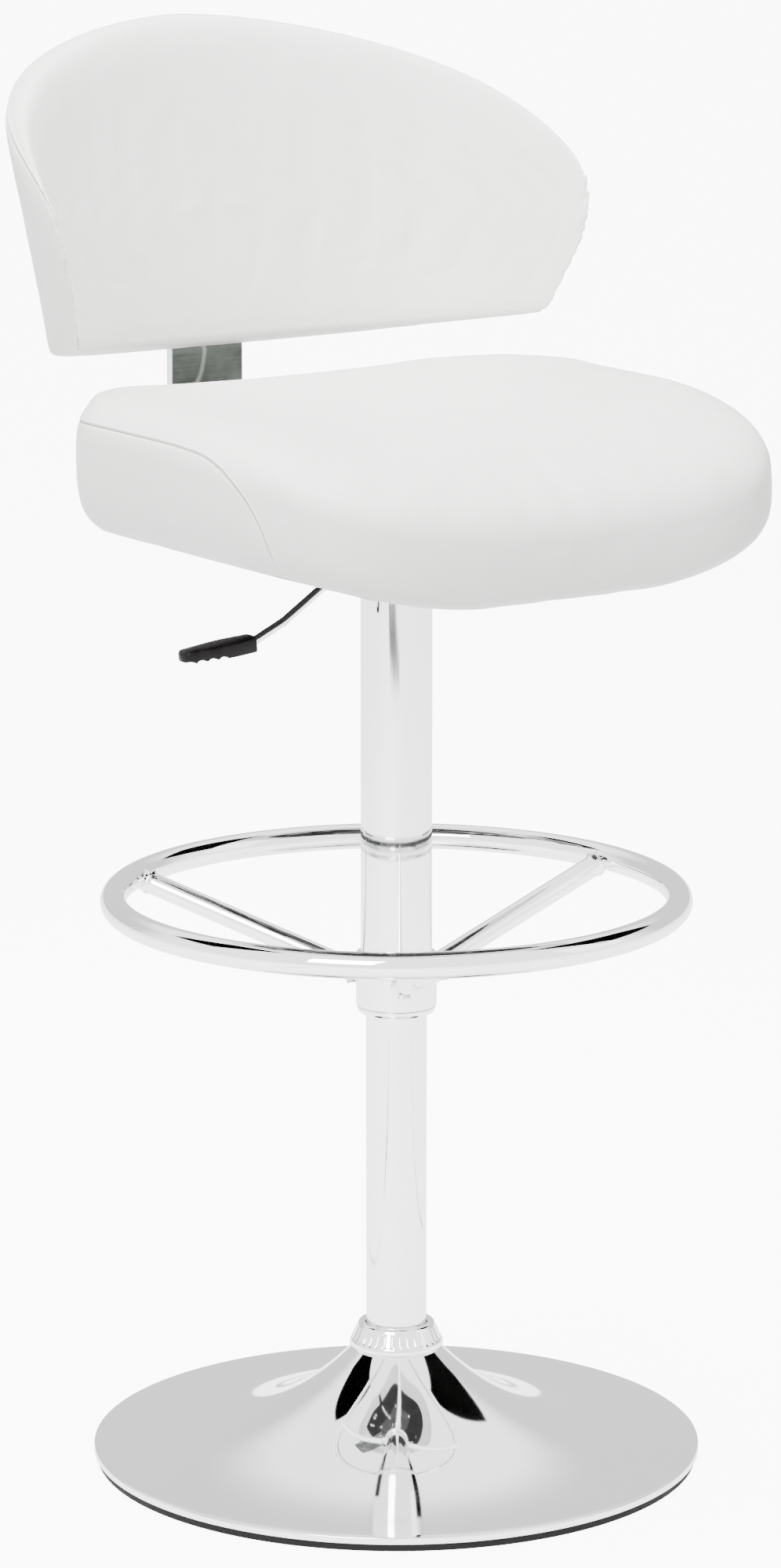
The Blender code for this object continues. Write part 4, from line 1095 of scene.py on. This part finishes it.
def puffed(made, held, shrink):
    """Blow the cover up against its seams with a short cloth simulation.

    The cover starts a little small and swells. Its designed shape is kept, and on
    top of it the small folds that the simulation gives.
    """
    mesh = made.data
    rest = as_array(mesh.vertices, "co")
    normals = as_array(mesh.vertices, "normal")
    start = rest - normals * shrink
    mesh.vertices.foreach_set("co", start.ravel())
    group = made.vertex_groups.new(name="held")
    for vertex in mesh.vertices:
        weight = held(vertex.co)
        if weight > 0.0:
            group.add([vertex.index], weight, "REPLACE")
    cloth = made.modifiers.new("cover", "CLOTH")
    settings = cloth.settings
    settings.quality = 5
    settings.tension_stiffness = 15
    settings.compression_stiffness = 15
    settings.shear_stiffness = 5
    settings.bending_stiffness = 0.5
    settings.use_pressure = True
    settings.uniform_pressure_force = CLOTH_PRESSURE
    settings.effector_weights.gravity = 0.0
    settings.vertex_group_mass = "held"
    cloth.collision_settings.use_collision = False
    scene = bpy.context.scene
    scene.frame_start = 1
    scene.frame_end = CLOTH_FRAMES
    for step in range(1, CLOTH_FRAMES + 1):
        scene.frame_set(step)
    evaluated = made.evaluated_get(bpy.context.evaluated_depsgraph_get())
    moved = as_array(evaluated.data.vertices, "co")
    made.modifiers.remove(cloth)
    scene.frame_set(1)
    lift = ((moved - start) * normals).sum(axis=1)
    folds = spread(mesh, lift - spread(mesh, lift, FOLD_SMOOTHING), FOLD_SOFTENING)
    folds = FOLD_DEPTH * np.tanh(folds / FOLD_DEPTH)
    final = rest + normals * folds[:, None]
    mesh.vertices.foreach_set("co", final.ravel())
    mesh.update()


def as_array(items, name):
    """One vector of every item, as rows."""
    values = np.empty(len(items) * 3)
    items.foreach_get(name, values)
    return values.reshape(-1, 3)


def spread(mesh, values, times):
    """Average values over neighbouring vertices, again and again."""
    ends = np.empty(len(mesh.edges) * 2, dtype=int)
    mesh.edges.foreach_get("vertices", ends)
    first = ends[0::2]
    second = ends[1::2]
    count = np.bincount(ends, minlength=len(values))
    for _ in range(times):
        total = np.bincount(first, values[second], len(values))
        total += np.bincount(second, values[first], len(values))
        values = 0.5 * values + 0.5 * total / count
    return values


def soft_piece(name, skin, seam, nodes, shrink, voxel, held_depth):
    shape = skin.shape(COVER_EDGE_STEPS, COVER_RINGS)
    bmesh.ops.recalc_face_normals(shape, faces=shape.faces)
    bmesh.ops.triangulate(shape, faces=[face for face in shape.faces if len(face.verts) > 4])
    designed = BVHTree.FromBMesh(shape)
    made = piece(name, shape, "lift", "white_leatherette", nodes, smooth_angle=None)
    remesh = made.modifiers.new("even_mesh", "REMESH")
    remesh.mode = "VOXEL"
    remesh.voxel_size = voxel
    apply_modifiers(made)
    settle(made, designed, 3)
    seam_tree = line_tree(seam)
    puffed(made, lambda co: held_weight(co, seam_tree, held_depth), shrink)
    subdivide(made)
    refine_near(made, seam)
    mark_seam(made, seam)
    made.data.shade_smooth()
    made.data.materials.clear()
    made.data.materials.append(LOOKS["white_leatherette"])
    return made


def held_weight(co, seam_tree, depth):
    """1 on the seam, where the cover is sewn down, and 0 away from it."""
    gap = distance_to(seam_tree, co)
    return max(0.0, 1 - gap / depth)


def line_tree(points):
    """A thin ribbon along a run, whose nearest point gives the distance to the run."""
    corners = []
    faces = []
    for point in points:
        corners.append(point)
        corners.append(point + Vector((0.0, 0.0, 0.00001)))
    for index in range(len(points) - 1):
        base = 2 * index
        faces.append((base, base + 1, base + 3))
        faces.append((base, base + 3, base + 2))
    return BVHTree.FromPolygons(corners, faces)


def distance_to(tree, co):
    """How far a place lies from what a tree holds."""
    return tree.find_nearest(co)[3]


def apply_modifiers(made):
    """Turn the shape that the modifiers give into the piece's own mesh."""
    evaluated = made.evaluated_get(bpy.context.evaluated_depsgraph_get())
    mesh = bpy.data.meshes.new_from_object(evaluated)
    old = made.data
    made.modifiers.clear()
    made.data = mesh
    bpy.data.meshes.remove(old)


def smooth_mesh(made, times):
    """Move every vertex halfway to the middle of its neighbours."""
    shape = bmesh.new()
    shape.from_mesh(made.data)
    for _ in range(times):
        bmesh.ops.smooth_vert(shape, verts=shape.verts, factor=0.5, use_axis_x=True, use_axis_y=True,
                              use_axis_z=True)
    shape.to_mesh(made.data)
    shape.free()


def settle(made, designed, times):
    """Even out the mesh and lay it back on the designed surface, which takes the steps out of it."""
    for _ in range(times):
        smooth_mesh(made, 2)
        normals = [vertex.normal.copy() for vertex in made.data.vertices]
        for vertex, normal in zip(made.data.vertices, normals):
            inside = vertex.co - normal * SETTLE_INSIDE
            met = designed.ray_cast(inside, normal, SETTLE_REACH)[0]
            vertex.co = met or designed.find_nearest(vertex.co)[0]


def subdivide(made):
    """Apply one level of smooth subdivision."""
    change = made.modifiers.new("fine", "SUBSURF")
    change.levels = 1
    change.render_levels = 1
    apply_modifiers(made)


def refine_near(made, seam):
    """Halve the mesh size along the seam, so that its groove is a real shape."""
    tree = line_tree(seam)
    shape = bmesh.new()
    shape.from_mesh(made.data)
    near = {vert for vert in shape.verts if distance_to(tree, vert.co) < SEAM_REACH}
    edges = [edge for edge in shape.edges if edge.verts[0] in near and edge.verts[1] in near]
    bmesh.ops.subdivide_edges(shape, edges=edges, cuts=1, use_grid_fill=True, smooth=0.0)
    shape.to_mesh(made.data)
    shape.free()


def mark_seam(made, seam):
    """Fold the panel's edge over the seam, and store each point's distance to it, negative on the panel."""
    mesh = made.data
    layer = mesh.attributes.new("seam_gap", "FLOAT", "POINT")
    finder = SeamFinder(seam)
    normals = [vertex.normal.copy() for vertex in mesh.vertices]
    gaps = []
    for vertex, normal in zip(mesh.vertices, normals):
        gap = finder.signed(vertex.co, normal)
        gaps.append(gap)
        ridge = SEAM_RIDGE_HEIGHT * math.exp(-(((gap - SEAM_RIDGE) / SEAM_WIDTH) ** 2))
        groove = SEAM_DEPTH * math.exp(-(((gap - SEAM_GROOVE) / SEAM_WIDTH) ** 2))
        vertex.co += normal * (ridge - groove)
    layer.data.foreach_set("value", gaps)


class SeamFinder:
    """Finds the nearest place on a run of points, and on which side of it a point lies."""

    def __init__(self, seam):
        self.points = evenly(seam, SEAM_SPACING)
        self.tree = KDTree(len(self.points))
        for index, point in enumerate(self.points):
            self.tree.insert(point, index)
        self.tree.balance()

    def signed(self, co, normal):
        """The distance from the run, negative on the panel's side of it."""
        _, index, gap = self.tree.find(co)
        if gap > 0.03:
            return gap
        before = self.points[max(index - 1, 0)]
        after = self.points[min(index + 1, len(self.points) - 1)]
        along = (after - before).normalized()
        offset = co - self.points[index]
        offset -= along * offset.dot(along)
        side = normal.cross(along)
        return math.copysign(offset.length, offset.dot(side))


def stitches(name, made, run, offset, pitch, length, radius, material):
    """Separate stitches laid along a run, each a short rounded thread that dips at both ends."""
    tree = BVHTree.FromPolygons([vertex.co.copy() for vertex in made.data.vertices],
                                [tuple(polygon.vertices) for polygon in made.data.polygons])
    profile = ((-0.5, 0.35, -0.7), (-0.38, 0.9, 0.0), (0.0, 1.0, 0.45), (0.38, 0.9, 0.0), (0.5, 0.35, -0.7))
    shape = bmesh.new()
    points = evenly(run, pitch)
    for before, after in zip(points, points[1:]):
        along = (after - before).normalized()
        middle = (before + after) / 2
        side = tree.find_nearest(middle)[1].cross(along).normalized()
        spot, normal, _, _ = tree.find_nearest(middle + side * offset)
        rings = []
        for t, share, lift in profile:
            centre = spot + along * (length * t) + normal * (radius * lift)
            section = circle(radius * share, 6)
            rings.append([shape.verts.new(centre + side * a + normal * b) for a, b in section])
        bridge(shape, rings, capped=True)
    piece(name, shape, "lift", "white_leatherette", material=material, smooth_angle=None)


def press_pleats(made, skin, places):
    """Short pleats where the cover is pulled round the lower edge, deepest at their foot."""
    mesh = made.data
    steps = 12
    for side, forward, slant, top_level in places:
        run = []
        for step in range(steps + 1):
            t = step / steps
            across, up, roundness, out_across, out_up = outline_at(skin, forward + slant * t)
            point = (side * across, up, roundness, side * out_across, out_up)
            run.append(skin.at(point, PLEAT_FOOT + (top_level - PLEAT_FOOT) * t))
        finder = SeamFinder(run)
        count = len(finder.points)
        normals = as_array(mesh.vertices, "normal")
        for vertex, normal in zip(mesh.vertices, normals):
            _, index, gap = finder.tree.find(vertex.co)
            if gap < 4 * PLEAT_WIDTH:
                fade = 1 - index / count
                fold = math.exp(-((gap / PLEAT_WIDTH) ** 2))
                shoulder = 0.45 * math.exp(-(((gap - 2 * PLEAT_WIDTH) / PLEAT_WIDTH) ** 2))
                vertex.co -= Vector(normal) * (PLEAT_DEPTH * fade * (fold - shoulder))


def make_seat():
    """The seat's cover, its pleats and its topstitching."""
    skin = seat_skin()
    seam = seat_seam(skin)
    made = soft_piece("seat_cover", skin, seam, ["seat_cushion"], shrink=0.0030, voxel=0.005,
                      held_depth=0.006)
    press_pleats(made, skin, SEAT_PLEATS)
    # the topstitches are in thread painted dark with the shade of their holes
    stitches("seat_topstitch", made, seam, offset=0.0042, pitch=0.0030, length=0.0014, radius=0.00034,
             material=PAINTED_SHADE_THREAD)


def make_back():
    """The back's cover, its seam stitches and the tacks at its lower corners."""
    skin = back_skin()
    seam = back_seam(skin)
    made = soft_piece("back_cover", skin, seam, ["back_cushion", "back_rear_pad"], shrink=0.0020,
                      voxel=0.0045, held_depth=0.005)
    stitches("back_seam_stitches", made, seam, offset=0.0, pitch=0.0042, length=0.0026, radius=0.00028,
             material=THREAD)
    # the corner tacks are in the same thread, painted dark with shade
    for number, run in ((1, seam[:4]), (2, seam[-4:])):
        stitches(f"back_corner_tack_{number}", made, run, offset=0.0012, pitch=0.0034, length=0.0022,
                 radius=0.00040, material=PAINTED_SHADE_THREAD)


# ---------------------------------------------------------------- stage
def make_stage():
    """A white floor that glows a little, so that it reads as white paper."""
    look = Look("studio_floor", (0.60, 0.60, 0.60), 0.7)
    tone = look.noise(0.8, 2.0)
    look.colour_from(look.colours(tone, (0.3, (0.59, 0.59, 0.59)), (0.7, (0.61, 0.61, 0.61))))
    path = look.tree.nodes.new("ShaderNodeLightPath")
    glow = look.ranged(path.outputs["Is Camera Ray"], 0.0, 1.0, 0.0, FLOOR_GLOW)
    mirrored = look.ranged(path.outputs["Is Glossy Ray"], 0.0, 1.0, 0.0, FLOOR_MIRRORED)
    glow = look.combined("ADD", glow, mirrored)
    look.shader.inputs["Emission Color"].default_value = (1.0, 1.0, 1.0, 1.0)
    look.link(glow, look.shader.inputs["Emission Strength"])
    steps = 96
    edge = [on_floor(STAGE_RADIUS, 2 * math.pi * step / steps) for step in range(steps)]
    floor = staged("studio_floor", edge, -0.0002, look.material)
    make_reflected_shapes()


def staged(name, corners, height, material):
    """One flat face at a height."""
    shape = bmesh.new()
    shape.faces.new([shape.verts.new((x, y, height)) for x, y in corners])
    mesh = bpy.data.meshes.new(name)
    shape.to_mesh(mesh)
    shape.free()
    mesh.materials.append(material)
    made = bpy.data.objects.new(name, mesh)
    bpy.context.collection.objects.link(made)
    return made


def on_floor(distance, azimuth):
    """A place round the column, with azimuths from the direction of the camera towards its right."""
    turn = CAMERA_TURN - azimuth
    return -distance * math.sin(turn), -distance * math.cos(turn)


def make_reflected_shapes():
    """Dark things outside the set that only the polished tubes mirror."""
    dark = Look("studio_dark", (0.004, 0.004, 0.004), 1.0).material
    shapes = list(DARK_FIELDS)
    for run in DARK_LINES:
        inner = [(distance - DARK_LINE_HALF, azimuth - DARK_LINE_TURN) for distance, azimuth in run]
        outer = [(distance + DARK_LINE_HALF, azimuth + DARK_LINE_TURN) for distance, azimuth in run]
        shapes.append(inner + outer[::-1])
    for index, corners in enumerate(shapes):
        flat = [on_floor(distance, math.radians(azimuth)) for distance, azimuth in corners]
        made = staged(f"dark_shape_{index + 1}", flat, 0.001, dark)
        made.visible_camera = False
        made.visible_diffuse = False
        made.visible_shadow = False


def make_world():
    """A white studio, greyer low down behind the stool, with a dark gap on each side overhead."""
    world = bpy.data.worlds.new("studio")
    bpy.context.scene.world = world
    world.use_nodes = True
    tree = world.node_tree
    background = tree.nodes["Background"]
    place = tree.nodes.new("ShaderNodeTexCoord").outputs["Generated"]
    split = tree.nodes.new("ShaderNodeSeparateXYZ")
    tree.links.new(place, split.inputs["Vector"])

    def ranged(value, low, high, to_low, to_high):
        node = tree.nodes.new("ShaderNodeMapRange")
        node.interpolation_type = "SMOOTHSTEP"
        for name, number in (("From Min", low), ("From Max", high), ("To Min", to_low), ("To Max", to_high)):
            node.inputs[name].default_value = number
        tree.links.new(value, node.inputs["Value"])
        return node.outputs["Result"]

    def combined(operation, first, second):
        node = tree.nodes.new("ShaderNodeMath")
        node.operation = operation
        for value, socket in ((first, node.inputs[0]), (second, node.inputs[1])):
            if hasattr(value, "links"):
                tree.links.new(value, socket)
            else:
                socket.default_value = value
        return node.outputs["Value"]

    ahead = tree.nodes.new("ShaderNodeVectorMath")
    ahead.operation = "DOT_PRODUCT"
    ahead.inputs[1].default_value = (math.sin(CAMERA_TURN), math.cos(CAMERA_TURN), 0.0)
    tree.links.new(place, ahead.inputs[0])
    behind = ranged(ahead.outputs["Value"], 0.15, 0.55, 0.0, 1.0)
    low_down = ranged(split.outputs["Z"], 0.42, 0.66, 1.0, 0.0)
    grey = combined("MULTIPLY", behind, low_down)
    strength = combined("SUBTRACT", WORLD_BRIGHT, combined("MULTIPLY", grey, WORLD_BRIGHT - WORLD_GREY))
    path = tree.nodes.new("ShaderNodeLightPath")
    aside = tree.nodes.new("ShaderNodeVectorMath")
    aside.operation = "DOT_PRODUCT"
    aside.inputs[1].default_value = (math.cos(CAMERA_TURN), -math.sin(CAMERA_TURN), 0.0)
    tree.links.new(place, aside.inputs[0])
    dark = 0.0
    for side, inner, near, far, low in CEILING_GAPS:
        across = combined("MULTIPLY", aside.outputs["Value"], side)
        gap = combined("MULTIPLY", ranged(across, inner, inner + 0.015, 0.0, 1.0),
                       ranged(split.outputs["Z"], low, low + 0.02, 0.0, 1.0))
        gap = combined("MULTIPLY", gap, ranged(ahead.outputs["Value"], near, near + 0.02, 0.0, 1.0))
        gap = combined("MULTIPLY", gap, ranged(ahead.outputs["Value"], far - 0.02, far, 1.0, 0.0))
        dark = combined("ADD", gap, dark)
    dark = combined("MULTIPLY", dark, path.outputs["Is Glossy Ray"])
    strength = combined("MULTIPLY", strength, combined("SUBTRACT", 1.0, dark))
    dimming = combined("MULTIPLY", path.outputs["Is Diffuse Ray"], 1.0 - WORLD_SOFT)
    strength = combined("MULTIPLY", strength, combined("SUBTRACT", 1.0, dimming))
    seen = combined("MULTIPLY", path.outputs["Is Camera Ray"], FLOOR_GLOW + WORLD_BRIGHT)
    tree.links.new(combined("MAXIMUM", strength, seen), background.inputs["Strength"])
    background.inputs["Color"].default_value = (1.0, 1.0, 1.0, 1.0)


def add_area(name, place, power, width, height=None):
    """A soft light that faces the middle of the stool."""
    light = bpy.data.lights.new(name, "AREA")
    light.energy = power
    light.size = width
    if height:
        light.shape = "RECTANGLE"
        light.size_y = height
    lamp = bpy.data.objects.new(name, light)
    lamp.location = place
    direction = Vector((0.0, 0.0, 0.8)) - Vector(place)
    lamp.rotation_euler = direction.to_track_quat("-Z", "Y").to_euler()
    bpy.context.collection.objects.link(lamp)
    return lamp


def make_lights():
    add_area("key_softbox", (-2.6, -1.8, 2.6), 175.0, 1.6, 2.0)
    add_area("fill_softbox", (2.4, -2.2, 1.8), 12.0, 1.6, 2.0)
    top = add_area("top_softbox", (-0.2, 0.2, 3.2), 240.0, 2.2)
    top.visible_glossy = False


def make_camera():
    camera = bpy.data.cameras.new("camera")
    camera.lens = CAMERA_LENS
    camera.sensor_width = 36.0
    camera.clip_start = 0.05
    camera.clip_end = 200.0
    holder = bpy.data.objects.new("camera", camera)
    holder.location = (
        -CAMERA_DISTANCE * math.sin(CAMERA_TURN),
        -CAMERA_DISTANCE * math.cos(CAMERA_TURN),
        CAMERA_HEIGHT,
    )
    holder.rotation_euler = (math.pi / 2 - CAMERA_PITCH, 0.0, -(CAMERA_TURN - CAMERA_SWING))
    bpy.context.collection.objects.link(holder)
    bpy.context.scene.camera = holder


def main():
    make_camera()
    make_world()
    make_lights()
    make_stage()
    dress_cad_nodes()
    make_base_shell()
    make_floor_pad()
    make_tube("lower_tube_polished", "lower_tube", "base", LOWER_TUBE_BORE)
    make_tube("sleeve_tube_polished", "sleeve_tube", "lift", SLEEVE_TUBE_BORE)
    make_collar()
    make_hub()
    make_footrest()
    make_lever()
    make_bar()
    make_seat()
    make_back()


main()
